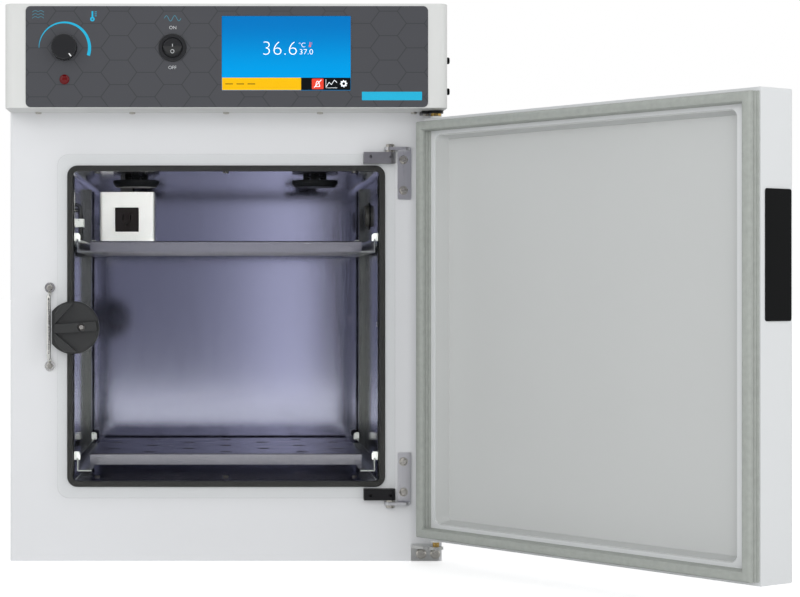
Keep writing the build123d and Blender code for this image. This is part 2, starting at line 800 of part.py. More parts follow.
def electronics_tray():
    """Shelf of the upper compartment that carries the power parts."""
    x = cabinet_w / 2 - sheet - fit
    y0 = front + sheet + fit
    y1 = back - 2 * sheet - fit
    tray = block(-x, x, y0, y1, tray_z, tray_z + 10)
    tray -= block(tray_t - x, x - tray_t, y0 - 1, y1 - tray_t, tray_z + tray_t, tray_z + 11)
    for side in (-1, 1):
        tray -= rod_z(vent_tube_r + 0.5, tray_z - 1, tray_z + 3, side * vent_x, front + vent_depth)
    return tray


def power_supply():
    """Open-frame supply in a vented case."""
    z = tray_z + tray_t
    x0 = supply_x - supply_w / 2
    case = block(x0, x0 + supply_w, supply_y, supply_y + supply_d, z, z + supply_h)
    case = fillet(case.edges().filter_by(Axis.Z), 2.0)
    pitch = supply_w / (supply_slots + 1)
    for i in range(supply_slots):
        x = x0 + (i + 1) * pitch
        case -= block(x - 2, x + 2, supply_y + 20, supply_y + supply_d - 20, z + supply_h - 2, z + supply_h + 1)
    return case


def vent_cap(x):
    """A round dish that hangs from a hollow neck under the chamber ceiling."""
    neck = vent_cap_h - vent_neck_h
    profile = Polyline((0, -vent_cap_h), (vent_cap_r - 4, -vent_cap_h), (vent_cap_r, -neck), (vent_cap_r, -vent_neck_h),
                       (vent_neck_r, -vent_neck_h), (vent_neck_r, 0), (0, 0), (0, -vent_cap_h))
    cap = revolve(Plane.XZ * make_face(profile), Axis.Z)
    cap -= Pos(0, 0, 0) * Cylinder(vent_tube_r - vent_tube_wall, 2 * vent_neck_h)
    for i in range(6):
        slot = Pos(vent_neck_r, 0, -vent_neck_h / 2 - 0.3) * Box(vent_neck_r, 5.0, vent_neck_h - 1.6)
        cap -= slot.rotate(Axis.Z, i * 60)
    return Pos(x, front + vent_depth, chamber_top) * cap


def ceiling_vent_caps():
    return joined([vent_cap(-vent_x), vent_cap(vent_x)])


def vent_tubes():
    """Two elbows from the chamber ceiling to the rear panel."""
    tubes = []
    y = front + vent_depth
    for side in (-1, 1):
        x = side * vent_x
        path = FilletPolyline([(x, y, chamber_top + fit), (x, y, vent_axis_z()), (x, back, vent_axis_z())],
                              radius=vent_bend_r)
        start = Plane((x, y, chamber_top + fit), z_dir=(0, 0, 1))
        ring = start * (Circle(vent_tube_r) - Circle(vent_tube_r - vent_tube_wall))
        tubes.append(sweep(ring, path=path))
    return joined(tubes)


def access_port_tube():
    """Sleeve through the right wall, with a flange on the outside."""
    y = front + port_depth
    tube = rod_x(port_tube_r, chamber_w / 2 - 1, cabinet_w / 2 + 0.5, y, port_z)
    flange = rod_x(port_flange_r, cabinet_w / 2, cabinet_w / 2 + port_flange_t, y, port_z)
    flange = fillet(flange.edges().group_by(Axis.X)[-1], 1.2)
    return tube + flange - rod_x(port_bore_r, 0, cabinet_w, y, port_z)


def access_port_plug():
    """Silicone stopper that is pulled out to the right."""
    y = front + port_depth
    r = port_bore_r - port_plug_gap
    outside = cabinet_w / 2 + port_flange_t + 0.3
    stem = rod_x(r, chamber_w / 2 - port_plug_in, outside, y, port_z)
    stem = fillet(stem.edges().group_by(Axis.X)[0], 2.0)
    head = rod_x(port_plug_head_r, outside, outside + port_plug_head_l, y, port_z)
    head = fillet(head.edges().group_by(Axis.X)[-1], 3.0)
    head -= Pos(outside + port_plug_head_l, y, port_z) * Sphere(7.0)
    return stem + head


def chamber_probe(depth, top):
    """A bent probe rod that enters through the left wall and hangs down beside it."""
    wall = -chamber_w / 2
    x = wall + probe_off_wall
    y = front + depth
    points = [(wall - 14, y, top), (x, y, top), (x, y, top - probe_length)]
    path = FilletPolyline(points, radius=5.0)
    start = Plane(points[0], z_dir=(1, 0, 0))
    rod = sweep(start * Circle(probe_r), path=path)
    return rod + Pos(x, y, top - probe_length) * Sphere(probe_r)


def chamber_probes():
    """The control probe and the limit probe."""
    return joined([chamber_probe(depth, top) for depth, top in zip(probe_depths, probe_tops)])


def probe_clip():
    """Bent strip on the left wall that holds both probes."""
    wall = -chamber_w / 2
    y0 = front + probe_depths[0] - 10
    y1 = front + probe_depths[1] + 10
    x1 = wall + probe_off_wall + probe_r + probe_clip_t + fit
    clip = block(wall, x1, y0, y1, probe_clip_z - 5, probe_clip_z + 5)
    clip -= block(wall + probe_clip_t, x1 - probe_clip_t, y0 + 10 - probe_r - fit, y1 - 10 + probe_r + fit,
                  probe_clip_z - 6, probe_clip_z + 6)
    clip -= block(wall + probe_clip_t, x1 + 1, y0 - 1, y0 + 10 - probe_r - fit - probe_clip_t,
                  probe_clip_z - 6, probe_clip_z + 6)
    clip -= block(wall + probe_clip_t, x1 + 1, y1 - 10 + probe_r + fit + probe_clip_t, y1 + 1,
                  probe_clip_z - 6, probe_clip_z + 6)
    return clip


def outlet_box():
    """White box on the back wall that holds the accessory socket."""
    x0 = outlet_x - outlet_w / 2
    x1 = outlet_x + outlet_w / 2
    z0 = outlet_z - outlet_h / 2
    z1 = outlet_z + outlet_h / 2
    box = block(x0, x1, chamber_back - outlet_d, chamber_back, z0, z1)
    box = fillet(box.edges().filter_by(Axis.Z).group_by(Axis.Y)[0], 4.0)
    half_w = socket_w / 2 + fit
    half_h = socket_h / 2 + fit
    z = outlet_z - socket_drop
    box -= block(outlet_x - half_w, outlet_x + half_w, chamber_back - outlet_d - 1, chamber_back - 5,
                 z - half_h, z + half_h)
    return box


def outlet_socket():
    """Black socket insert with two contact slots and an earth hole."""
    z = outlet_z - socket_drop
    half = socket_w / 2
    y0 = chamber_back - outlet_d - socket_t
    body = block(outlet_x - half, outlet_x + half, y0, chamber_back - 5, z - socket_h / 2, z + socket_h / 2)
    body = fillet(body.edges().filter_by(Axis.Y), 1.5)
    for dx in (-5, 5):
        body -= block(outlet_x + dx - 0.9, outlet_x + dx + 0.9, y0 - 1, y0 + 14, z - 1, z + 7)
    return body - rod_y(2.4, y0 - 1, y0 + 14, outlet_x, z - 7)


def post_x(side):
    """Outer and inner X of a post against its side wall."""
    wall = side * chamber_w / 2
    return wall, wall - side * post_x_size


def shelf_post(side, depth):
    """Slotted channel that stands against a side wall."""
    outer, inner = post_x(side)
    y = front + depth
    z0 = chamber_floor + post_end_gap
    z1 = chamber_top - post_end_gap
    lo, hi = min(outer, inner), max(outer, inner)
    post = block(lo, hi, y - post_y_size / 2, y + post_y_size / 2, z0, z1)
    web = inner + side * post_sheet
    lo, hi = min(web, outer + side), max(web, outer + side)
    post -= block(lo, hi, y - post_y_size / 2 + post_sheet, y + post_y_size / 2 - post_sheet, z0 - 1, z1 + 1)
    count = int((z1 - z0 - post_slot_pitch) / post_slot_pitch)
    for i in range(count):
        z = z0 + post_slot_pitch * (i + 1)
        post -= block(inner - 2, inner + 2, y - post_slot_w / 2, y + post_slot_w / 2, z - post_slot_h / 2,
                      z + post_slot_h / 2)
    return post


def rail_bottom(level):
    return shelf_tops[level] - shelf_lip - shelf_clear - rail_t


def shelf_rail(side, level):
    """Angle that a shelf slides on, hung between the front and rear posts."""
    x1 = abs(post_x(side)[1]) - rail_stand_off
    x0 = x1 - rail_foot
    z0 = rail_bottom(level)
    z1 = z0 + rail_leg
    y0 = front + post_depths["front"] - rail_overrun
    y1 = front + post_depths["rear"] + rail_overrun
    rail = block(x0, x1, y0, y1, z0, z0 + rail_t)
    rail += block(x1 - rail_t, x1, y0, y1, z0, z1)
    rail += block(x0, x1, y1 - rail_t, y1, z0, z0 + rail_leg / 2)
    if side < 0:
        rail = mirror(rail, about=Plane.YZ)
    return rail


def shelf_clips():
    """Spring clips on the posts, each gripping the top edge of a rail."""
    clips = []
    for side in (-1, 1):
        inner = abs(post_x(side)[1])
        leg = inner - rail_stand_off
        for level in shelf_tops:
            z = rail_bottom(level) + rail_leg - clip_groove
            for depth in post_depths.values():
                y = front + depth
                clip = block(leg - 2 * rail_t, inner, y - clip_y / 2, y + clip_y / 2, z, z + clip_z)
                clip = chamfer(clip.edges().filter_by(Axis.Y).group_by(Axis.X)[0].sort_by(Axis.Z)[-1:], 2.0)
                clip -= block(leg - rail_t - 0.1, leg + 0.1, y - clip_y, y + clip_y, z - 1, z + clip_groove)
                if side < 0:
                    clip = mirror(clip, about=Plane.YZ)
                clips.append(clip)
    return joined(clips)


def shelf_hole_points():
    y_mid = front + shelf_front_depth + shelf_d / 2
    points = []
    for row in range(shelf_hole_rows):
        y = y_mid + (row - (shelf_hole_rows - 1) / 2) * shelf_hole_pitch_y
        count = 4 if row % 2 else 3
        for i in range(count):
            points.append(((i - (count - 1) / 2) * shelf_hole_pitch_x, y))
    return points


def shelf(level):
    """Folded stainless shelf with turned-down edges and staggered round holes."""
    top = shelf_tops[level]
    y0 = front + shelf_front_depth
    y1 = y0 + shelf_d
    half = shelf_w / 2
    body = block(-half, half, y0, y1, top - shelf_lip, top)
    body = fillet(body.edges().filter_by(Axis.X).group_by(Axis.Z)[-1], 1.5)
    body -= block(shelf_t - half, half - shelf_t, y0 + shelf_t, y1 - shelf_t, top - shelf_lip - 1, top - shelf_t)
    for side in (-1, 1):
        edge = side * (half - shelf_t / 2)
        body -= block(edge - shelf_t, edge + shelf_t, y0 + shelf_lip, y1 - shelf_lip, top - shelf_lip - 1,
                      top - shelf_side_lip)
    for y in (y0 + shelf_t, y1 - shelf_t - shelf_hem):
        body += block(shelf_t - half, half - shelf_t, y, y + shelf_hem, top - shelf_lip, top - shelf_lip + shelf_t)
    for x, y in shelf_hole_points():
        body -= rod_z(shelf_hole_r, top - 2 * shelf_t, top + 1, x, y)
    return body


def pane_outline(grow, y_back, t):
    return front_plate(pane_w + 2 * grow, pane_h + 2 * grow, pane_r + grow, y_back, t, 0, pane_z)


def glass_pane():
    pane = pane_outline(0.0, pane_back, pane_t)
    pane = chamfer(pane.faces().sort_by(Axis.Y)[0].edges(), 0.6)
    return pane - rod_y(spindle_hole_r, pane_front - 1, pane_back + 1, latch_x, latch_z)


def mirror_z(shape):
    """The same piece at the other end of the pane."""
    return mirror(shape, about=Plane((0, 0, pane_z), z_dir=(0, 0, 1)))


def glass_clamp():
    """Clamp on the pane's top right corner, round about the pin so that it clears the cabinet."""
    z1 = pane_z + pane_h / 2 + clamp_cover
    z0 = pane_z + pane_h / 2 - clamp_bite
    x0 = clamp_end - clamp_l
    y1 = pane_mid + clamp_t / 2
    body = block(x0, glass_pin_x, y1 - clamp_t, y1, z0, z1) + rod_z(clamp_t / 2, z0, z1, glass_pin_x, pane_mid)
    body -= pane_outline(clamp_fit, pane_back + clamp_fit, pane_t + 2 * clamp_fit)
    body -= rod_z(glass_pin_r, z1 - clamp_cover - 1, z1 + 1, glass_pin_x, pane_mid)
    for x in (glass_pin_x, glass_pin_x - clamp_screw_x):
        body -= rod_y(clamp_screw_r, y1 - clamp_t - 1, pane_mid, x, z1 - clamp_cover - clamp_bite * 0.3)
    return body


def tab_bottom():
    return pane_z + pane_h / 2 + clamp_cover + pin_collar_h + tab_clear


def glass_hinge_pins():
    """Headed pins that turn in the bracket tabs."""
    z0 = pane_z + pane_h / 2 + clamp_fit
    z1 = pane_z + pane_h / 2 + clamp_cover
    top = tab_bottom() + tab_t + tab_clear
    pin = rod_z(glass_pin_r, z0, top + 1, glass_pin_x, pane_mid)
    collar = rod_z(pin_collar_r, z1, z1 + pin_collar_h, glass_pin_x, pane_mid)
    head = rod_z(pin_head_r, top, top + pin_head_h, glass_pin_x, pane_mid)
    head = fillet(head.edges().group_by(Axis.Z)[-1], 1.0)
    pin = pin + collar + head
    return joined([pin, mirror_z(pin)])


def glass_hinge_bracket():
    """Angle screwed to the cabinet front, its tab bored for the glass door's pin."""
    z0 = tab_bottom()
    z1 = z0 + tab_t
    plate = block(bracket_x, bracket_x + bracket_w, front - bracket_t, front, z1 - bracket_h, z1)
    plate = fillet(plate.edges().filter_by(Axis.Y).group_by(Axis.Z)[0], 2.0)
    eye = rod_z(tab_eye_r, z0, z1, glass_pin_x, pane_mid)
    tab = block(glass_pin_x - tab_eye_r, glass_pin_x, pane_mid, front, z0, z1)
    arm = block(glass_pin_x, tab_right, pane_mid - tab_eye_r, front, z0, z1)
    arm = fillet(arm.edges().filter_by(Axis.Z).group_by(Axis.X)[-1].sort_by(Axis.Y)[:1], 5.0)
    bracket = plate + eye + tab + arm
    bracket -= rod_z(glass_pin_r + pin_fit, z0 - 1, z1 + 1, glass_pin_x, pane_mid)
    for z in bracket_screw_zs()[:2]:
        bracket -= rod_y(screw_r, front - bracket_t - 1, front + 1, bracket_x + bracket_screw_in, z)
    return bracket


def bracket_screw_zs():
    """Heights of the upper two and the lower two bracket screws."""
    first = tab_bottom() + tab_t - bracket_screw_first
    upper = [first, first - bracket_screw_pitch]
    return upper + [2 * pane_z - z for z in upper]


def hinge_screws():
    """Screws with washers on the glass door's brackets, and the two large ones below."""
    x = bracket_x + bracket_screw_in
    screws = []
    for z in bracket_screw_zs():
        washer = rod_y(washer_r, front - bracket_t - washer_t, front - bracket_t, x, z)
        screws.append(washer + front_screw(x, front - bracket_t - washer_t, z, small_head_r + 0.6, 2.6))
    for x in hinge_screw_x:
        screws.append(front_screw(x, front - hinge_plate_t, hinge_screw_z, big_head_r, big_head_h))
    return joined(screws)


def latch_keeper():
    """Bent rod on two flattened eyes that the latch disc turns behind."""
    eyes = []
    y_eye = front - keeper_eye_t / 2
    for side in (-1, 1):
        z = latch_z + side * keeper_screw_half
        eye = rod_y(keeper_eye_r, front - keeper_eye_t, front, keeper_x, z)
        neck = block(keeper_x - keeper_rod_r, keeper_x + keeper_rod_r, front - keeper_eye_t, front,
                     min(z, z - side * 8), max(z, z - side * 8))
        eyes.append(eye + neck)
    z_eye = keeper_screw_half - 6
    y_rod = front - keeper_proud
    points = [(keeper_x, y_eye, latch_z + z_eye), (keeper_x, y_eye - 3, latch_z + keeper_rod_half),
              (keeper_x, y_rod, latch_z + keeper_rod_half), (keeper_x, y_rod, latch_z - keeper_rod_half),
              (keeper_x, y_eye - 3, latch_z - keeper_rod_half), (keeper_x, y_eye, latch_z - z_eye)]
    path = FilletPolyline(points, radius=[1.2, keeper_bend_r, keeper_bend_r, 1.2])
    rod = sweep(Plane(origin=points[0], z_dir=path % 0) * Circle(keeper_rod_r), path=path)
    reach = 2 * keeper_screw_half
    rod &= block(keeper_x - 9, keeper_x + 9, front - keeper_proud - 9, front, latch_z - reach, latch_z + reach)
    keeper = rod + eyes[0] + eyes[1]
    for side in (-1, 1):
        keeper -= rod_y(screw_r, front - 9, front + 1, keeper_x, latch_z + side * keeper_screw_half)
    return keeper


def latch_profile(r):
    """Disc whose centre lies off the pivot, drawn about the pivot with the bar along x."""
    return Pos(-latch_offset, 0) * Circle(r)


def latch_knob():
    """Eccentric latch disc with a grip bar and a finger pocket on each side of it."""
    flat = latch_x - (keeper_x + keeper_rod_r) - latch_rod_gap
    rim = extrude(latch_profile(latch_disc_r), amount=latch_rim_t)
    body = extrude(latch_profile(latch_body_r) & Circle(latch_sweep_r), amount=latch_h)
    body = fillet(body.edges().group_by(Axis.Z)[-1], 1.2)
    reach = 2 * latch_disc_r
    run = reach * cos(radians(latch_pocket_angle))
    rise = reach * sin(radians(latch_pocket_angle))
    corner = (latch_step_in - flat, latch_bar_half)
    points = [corner, (corner[0] + run, corner[1] + rise), (reach, corner[1] + rise), (reach, corner[1])]
    pocket = extrude(Pos(0, 0, latch_h - latch_pocket) * make_face(Polyline(*points, close=True)), amount=latch_h)
    knob = rim + body - pocket - mirror(pocket, about=Plane.XZ)
    turned = knob.rotate(Axis.Z, latch_tilt)
    turned -= block(-reach - flat, -flat, -reach, reach, -1, latch_h + 1)
    turned -= block(-reach - flat, latch_step_in - flat, -reach, reach, latch_rim_t, latch_h + 1)
    turned -= Cylinder(spindle_r + pin_fit, 4 * latch_h)
    turned -= Pos(0, 0, latch_h) * Cylinder(spindle_screw_head_r + 0.9, 2 * (spindle_screw_head_h + 1.6))
    return Pos(latch_x, latch_base, latch_z) * Rot(90, 0, 0) * turned


def latch_spindle():
    """Flanged bush through the glass, with the journal that the knob turns on."""
    barrel = rod_y(spindle_barrel_r, pane_front - latch_lift + 0.1, pane_back, latch_x, latch_z)
    flange = rod_y(spindle_flange_r, pane_back, pane_back + spindle_flange_t, latch_x, latch_z)
    flange = fillet(flange.edges().group_by(Axis.Y)[-1], 1.0)
    tip = latch_base - latch_h + spindle_screw_head_h + 2.0
    journal = rod_y(spindle_r, tip, pane_back, latch_x, latch_z)
    return barrel + flange + journal - rod_y(screw_r, tip - 1, tip + screw_l + 1, latch_x, latch_z)


def latch_screw():
    seat = latch_base - latch_h + spindle_screw_head_h + 2.0
    return front_screw(latch_x, seat, latch_z, spindle_screw_head_r, spindle_screw_head_h)


def door_box(x_in, z_in, y0, y1):
    """A block inside the outer door's outline."""
    return block(door_left + x_in, door_right - x_in, y0, y1, door_z + z_in, door_z + door_h - z_in)


def pull_mid_y():
    return door_inner - pull_from_inner


def pull_opening(grow, depth):
    """Space of the pull cup, reaching in from the free side."""
    y = pull_mid_y()
    half_w = pull_w / 2 - pull_border + grow
    half_h = pull_h / 2 - pull_border + grow
    return block(door_left - 1, door_left + depth, y - half_w, y + half_w, pull_z - half_h, pull_z + half_h)


def door_bush_bores(r, length):
    low = rod_z(r, door_z - 1, door_z + length, hinge_x, hinge_y)
    high = rod_z(r, door_z + door_h - length, door_z + door_h + 1, hinge_x, hinge_y)
    return low + high


def door_skin():
    """Outer pan of the door, folded from one sheet, with a return flange on the inside."""
    skin = door_box(0, 0, door_outer, door_inner)
    outer_edges = skin.faces().sort_by(Axis.Y)[0].edges()
    skin = fillet(outer_edges, door_r)
    skin -= door_box(sheet, sheet, door_outer + sheet, door_inner - sheet)
    skin -= recess_plate(0.0, door_inner + 1, 2 * sheet)
    skin -= pull_opening(pull_wall + fit, 3 * sheet)
    return skin - door_bush_bores(bush_r, 3 * sheet)


def recess_outline(grow):
    """Outline of the inner recess, drawn from the front, grown all round."""
    w = door_w - recess_from_hinge - recess_from_free
    h = door_h - 2 * recess_from_end
    cx = door_cx + (recess_from_free - recess_from_hinge) / 2
    return Pos(cx, door_cz) * RectangleRounded(w + 2 * grow, h + 2 * grow, recess_r + grow)


def recess_plate(grow, y_back, t):
    return extrude(facing(y_back) * recess_outline(grow), amount=t)


def recess_volume(grow, extra):
    """Tapered space of the inner panel's recess."""
    sketch = facing(door_inner - sheet) * recess_outline(grow)
    return extrude(sketch, amount=recess_depth - sheet + extra, taper=recess_draft)


def door_inner_panel():
    """Recessed inner panel, its rim held behind the skin's return flange."""
    y = door_inner - sheet
    panel = recess_plate(recess_rim, y, panel_t) + recess_volume(0.0, panel_t)
    return panel - recess_volume(-panel_t, 0.0) - recess_plate(-panel_t, y + 1, 1.2)


def door_insulation():
    """Foam between the skin and the inner panel."""
    foam = door_box(sheet, sheet, door_outer + sheet, door_inner - sheet - panel_t)
    foam = fillet(foam.faces().sort_by(Axis.Y)[0].edges(), door_r)
    foam -= recess_volume(0.1, panel_t + 0.1)
    foam -= pull_opening(pull_wall + 0.6, pull_depth + pull_wall + 0.6)
    return foam - door_bush_bores(bush_r + 0.5, bush_l + 1)


def gasket_tier(shrink, y0, t):
    """One storey of the door seal, narrower by shrink on both of its sides."""
    w = door_w - 2 * (door_gasket_inset_x + shrink)
    h = door_h - 2 * (door_gasket_inset_z + shrink)
    band = door_gasket_w - 2 * shrink
    ring = front_plate(w, h, door_r - shrink, y0 + t, t, door_cx, door_cz)
    return ring - front_plate(w - 2 * band, h - 2 * band, 2.0, y0 + t + 1, t + 2, door_cx, door_cz)


def door_gasket():
    """Bellows seal: a base strip, a narrow neck and a rounded bulb."""
    base = gasket_tier(0.0, door_inner, door_gasket_base)
    neck_y = door_inner + door_gasket_base
    neck = gasket_tier(door_gasket_neck_in, neck_y - 0.1, door_gasket_neck + 0.2)
    bulb_y = neck_y + door_gasket_neck
    bulb_t = door_gasket_t - door_gasket_base - door_gasket_neck
    bulb = gasket_tier(0.0, bulb_y, bulb_t)
    bulb = fillet(bulb.faces().sort_by(Axis.Y)[-1].edges(), bulb_t * 0.45)
    return base + neck + bulb


def door_pull():
    """Black cup let into the free side, with a lip to hook the fingers behind."""
    y = pull_mid_y()
    flange = block(door_left - pull_flange_t, door_left, y - pull_w / 2, y + pull_w / 2,
                   pull_z - pull_h / 2, pull_z + pull_h / 2)
    flange = fillet(flange.edges().filter_by(Axis.X), 2.5)
    cup = pull_opening(pull_wall, pull_depth + pull_wall)
    cup &= block(door_left, door_left + 2 * pull_depth, y - pull_w, y + pull_w, pull_z - pull_h, pull_z + pull_h)
    pull = flange + cup - pull_opening(0.0, pull_depth)
    half_w = pull_w / 2 - pull_border
    lip = block(door_left, door_left + pull_depth, y - half_w, y - half_w + pull_ridge,
                pull_z - pull_h / 2 + pull_border, pull_z + pull_h / 2 - pull_border)
    inside = pull_h / 2 - pull_border - pull_ridge
    lip -= block(door_left + 6, door_left + pull_depth, y - half_w, y - half_w + pull_ridge, pull_z - inside,
                 pull_z + inside)
    return pull + lip


def door_hinge_bushes():
    """Flanged bushes pressed into the door's lower and upper edges."""
    barrel = rod_z(bush_r, door_z, door_z + bush_l, hinge_x, hinge_y)
    flange = rod_z(bush_flange_r, door_z - bush_flange_t, door_z, hinge_x, hinge_y)
    bush = barrel + flange - rod_z(hinge_pin_r + hinge_fit, 0, 3 * door_z, hinge_x, hinge_y)
    return joined([bush, mirror(bush, about=Plane((0, 0, door_cz), z_dir=(0, 0, 1)))])


def lower_plate_top():
    return hinge_leg_h + hinge_plate_t


def door_hinge_lower():
    """Angle under the door: a leg on the cabinet front and a plate that holds the pin."""
    x1 = hinge_plate_left + hinge_plate_w
    z1 = lower_plate_top()
    leg = block(hinge_plate_left, x1, front - hinge_plate_t, front, 1.0, z1)
    plate = block(hinge_plate_left, x1, hinge_y, front, hinge_leg_h, z1)
    eye = rod_z(hinge_eye_r, hinge_leg_h, z1, hinge_x, hinge_y)
    taper = hinge_x - hinge_eye_r
    plate -= Pos(hinge_plate_left, hinge_y, z1) * Rot(0, 0, 45) * Box(16, 16, 4 * hinge_plate_t)
    bridge = block(taper, hinge_x, hinge_y, front, hinge_leg_h, z1)
    hinge = leg + plate + bridge + eye
    hinge -= rod_z(hinge_pin_r, 0, 2 * z1, hinge_x, hinge_y)
    for x in hinge_screw_x:
        hinge -= rod_y(screw_r, front - 2 * hinge_plate_t, front + 1, x, hinge_screw_z)
    return hinge


def door_hinge_upper():
    """Plate under the control head that holds the upper pin."""
    x1 = upper_plate_left + upper_plate_w
    plate = block(upper_plate_left, x1, hinge_y, front, head_z - hinge_plate_t, head_z)
    eye = rod_z(hinge_eye_r, head_z - hinge_plate_t, head_z, hinge_x, hinge_y)
    hinge = plate + eye - rod_z(hinge_pin_r, head_z - 2 * hinge_plate_t, head_z + 1, hinge_x, hinge_y)
    for x in upper_screw_x:
        hinge -= rod_z(screw_r, head_z - 2 * hinge_plate_t, head_z + 1, x, hinge_y + upper_screw_y)
    return hinge


def door_hinge_pins():
    """Fixed pins, the lower with the collar that carries the door."""
    low_top = door_z - bush_flange_t - tab_clear
    low = rod_z(hinge_pin_r, hinge_leg_h, door_z + bush_l - 2, hinge_x, hinge_y)
    low += rod_z(hinge_collar_r, lower_plate_top(), low_top, hinge_x, hinge_y)
    high = rod_z(hinge_pin_r, door_z + door_h - bush_l + 2, head_z, hinge_x, hinge_y)
    gap = door_z + door_h + bush_flange_t + tab_clear
    high += rod_z(bush_flange_r, gap, head_z - hinge_plate_t, hinge_x, hinge_y)
    return joined([low, high])


def build_cabinet():
    keep("cabinet_shell", cabinet_shell())
    keep("base_pan", base_pan())
    keep("rear_panel", rear_panel())
    keep("panel_screws", panel_screws())
    keep("power_inlet", power_inlet())
    keep("insulation", insulation())
    keep("electronics_tray", electronics_tray())
    keep("power_supply", power_supply())


def build_control_head():
    keep("header_housing", header_housing())
    keep("side_plugs", side_plugs())
    keep("control_overlay", control_overlay())
    keep("touch_display", touch_display())
    keep("control_board", control_board())
    keep("limit_thermostat", limit_thermostat())
    keep("limit_knob", limit_knob())
    keep("alarm_lamp", alarm_lamp())
    keep("power_switch_housing", power_switch_housing())
    keep("power_rocker", power_rocker())


def build_chamber():
    keep("chamber_liner", chamber_liner())
    keep("floor_heater", floor_heater())
    keep("opening_gasket", opening_gasket())
    keep("ceiling_vent_caps", ceiling_vent_caps())
    keep("vent_tubes", vent_tubes())
    keep("access_port_tube", access_port_tube())
    keep("access_port_plug", access_port_plug())
    keep("chamber_probes", chamber_probes())
    keep("probe_clip", probe_clip())
    keep("outlet_box", outlet_box())
    keep("outlet_socket", outlet_socket())


def build_shelves():
    sides = {"left": -1, "right": 1}
    for side_name, side in sides.items():
        for depth_name, depth in post_depths.items():
            keep("shelf_post_" + depth_name + "_" + side_name, shelf_post(side, depth))
        for level in shelf_tops:
            keep("shelf_rail_" + level + "_" + side_name, shelf_rail(side, level))
    for level in shelf_tops:
        keep(level + "_shelf", shelf(level))
    keep("shelf_clips", shelf_clips())


def build_glass_door():
    keep("glass_pane", glass_pane())
    keep("glass_clamp_top", glass_clamp())
    keep("glass_clamp_bottom", mirror_z(glass_clamp()))
    keep("glass_hinge_pins", glass_hinge_pins())
    keep("glass_hinge_bracket_top", glass_hinge_bracket())
    keep("glass_hinge_bracket_bottom", mirror_z(glass_hinge_bracket()))
    keep("hinge_screws", hinge_screws())
    keep("latch_spindle", latch_spindle())
    keep("latch_screw", latch_screw())
    keep("latch_knob", latch_knob())
    keep("latch_keeper", latch_keeper())


def build_outer_door():
    keep("door_skin", door_pose(door_skin()))
    keep("door_inner_panel", door_pose(door_inner_panel()))
    keep("door_insulation", door_pose(door_insulation()))
    keep("door_gasket", door_pose(door_gasket()))
    keep("door_pull", door_pose(door_pull()))
    keep("door_hinge_bushes", door_pose(door_hinge_bushes()))
    keep("door_hinge_upper", door_hinge_upper())
    keep("door_hinge_lower", door_hinge_lower())
    keep("door_hinge_pins", door_hinge_pins())


os.makedirs("parts", exist_ok=True)
build_cabinet()
build_control_head()
build_chamber()
build_shelves()
build_glass_door()
build_outer_door()
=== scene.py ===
import math
from contextlib import contextmanager

import bmesh
import bpy
from bpy.props import FloatProperty, FloatVectorProperty, PointerProperty, StringProperty
from mathutils import Matrix, Vector


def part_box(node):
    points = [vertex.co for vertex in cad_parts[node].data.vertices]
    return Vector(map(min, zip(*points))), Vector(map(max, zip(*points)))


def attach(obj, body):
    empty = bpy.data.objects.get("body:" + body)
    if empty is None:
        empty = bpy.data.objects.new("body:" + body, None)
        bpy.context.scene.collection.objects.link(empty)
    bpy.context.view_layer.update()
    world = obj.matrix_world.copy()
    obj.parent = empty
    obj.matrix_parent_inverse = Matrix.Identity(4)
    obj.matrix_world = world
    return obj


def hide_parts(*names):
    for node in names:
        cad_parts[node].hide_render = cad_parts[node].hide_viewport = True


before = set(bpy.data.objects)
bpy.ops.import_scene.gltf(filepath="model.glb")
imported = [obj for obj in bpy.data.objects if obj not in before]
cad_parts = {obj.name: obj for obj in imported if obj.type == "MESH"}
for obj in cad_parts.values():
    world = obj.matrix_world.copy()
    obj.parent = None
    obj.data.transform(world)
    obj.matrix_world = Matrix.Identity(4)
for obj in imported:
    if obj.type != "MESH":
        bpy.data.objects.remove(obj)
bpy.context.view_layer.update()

bl_info = {
    "name": "Laboratory incubator dressing",
    "version": (1, 0, 0),
    "blender": (4, 5, 0),
    "location": "View3D > Sidebar > Incubator",
    "description": "Finishes, prints and small parts of a bench incubator over its packed model",
    "category": "Object",
}

# Lengths are in metres, and the front of the cabinet looks along -Y.
door_open = math.radians(126.23)            # how far the outer door stands open
door_axis = Vector((0.240, -0.2745, 0.0))   # foot of its hinge line

# Levels of the prints, from the overlay's face forwards.
film_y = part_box("control_overlay")[0].y
word_y = film_y - 0.00006
arc_y = film_y - 0.0001
button_y = film_y - 0.00015
symbol_y = film_y - 0.00027


def hue(code):
    """A linear colour from its usual six-digit code."""
    levels = [int(code[i:i + 2], 16) / 255 for i in (0, 2, 4)]
    return tuple(v / 12.92 if v <= 0.04045 else ((v + 0.055) / 1.055) ** 2.4 for v in levels) + (1.0,)


def shade(colour, share):
    """A darker or lighter tone of a colour."""
    return tuple(c * share for c in colour[:3]) + (1.0,)


# Finishes

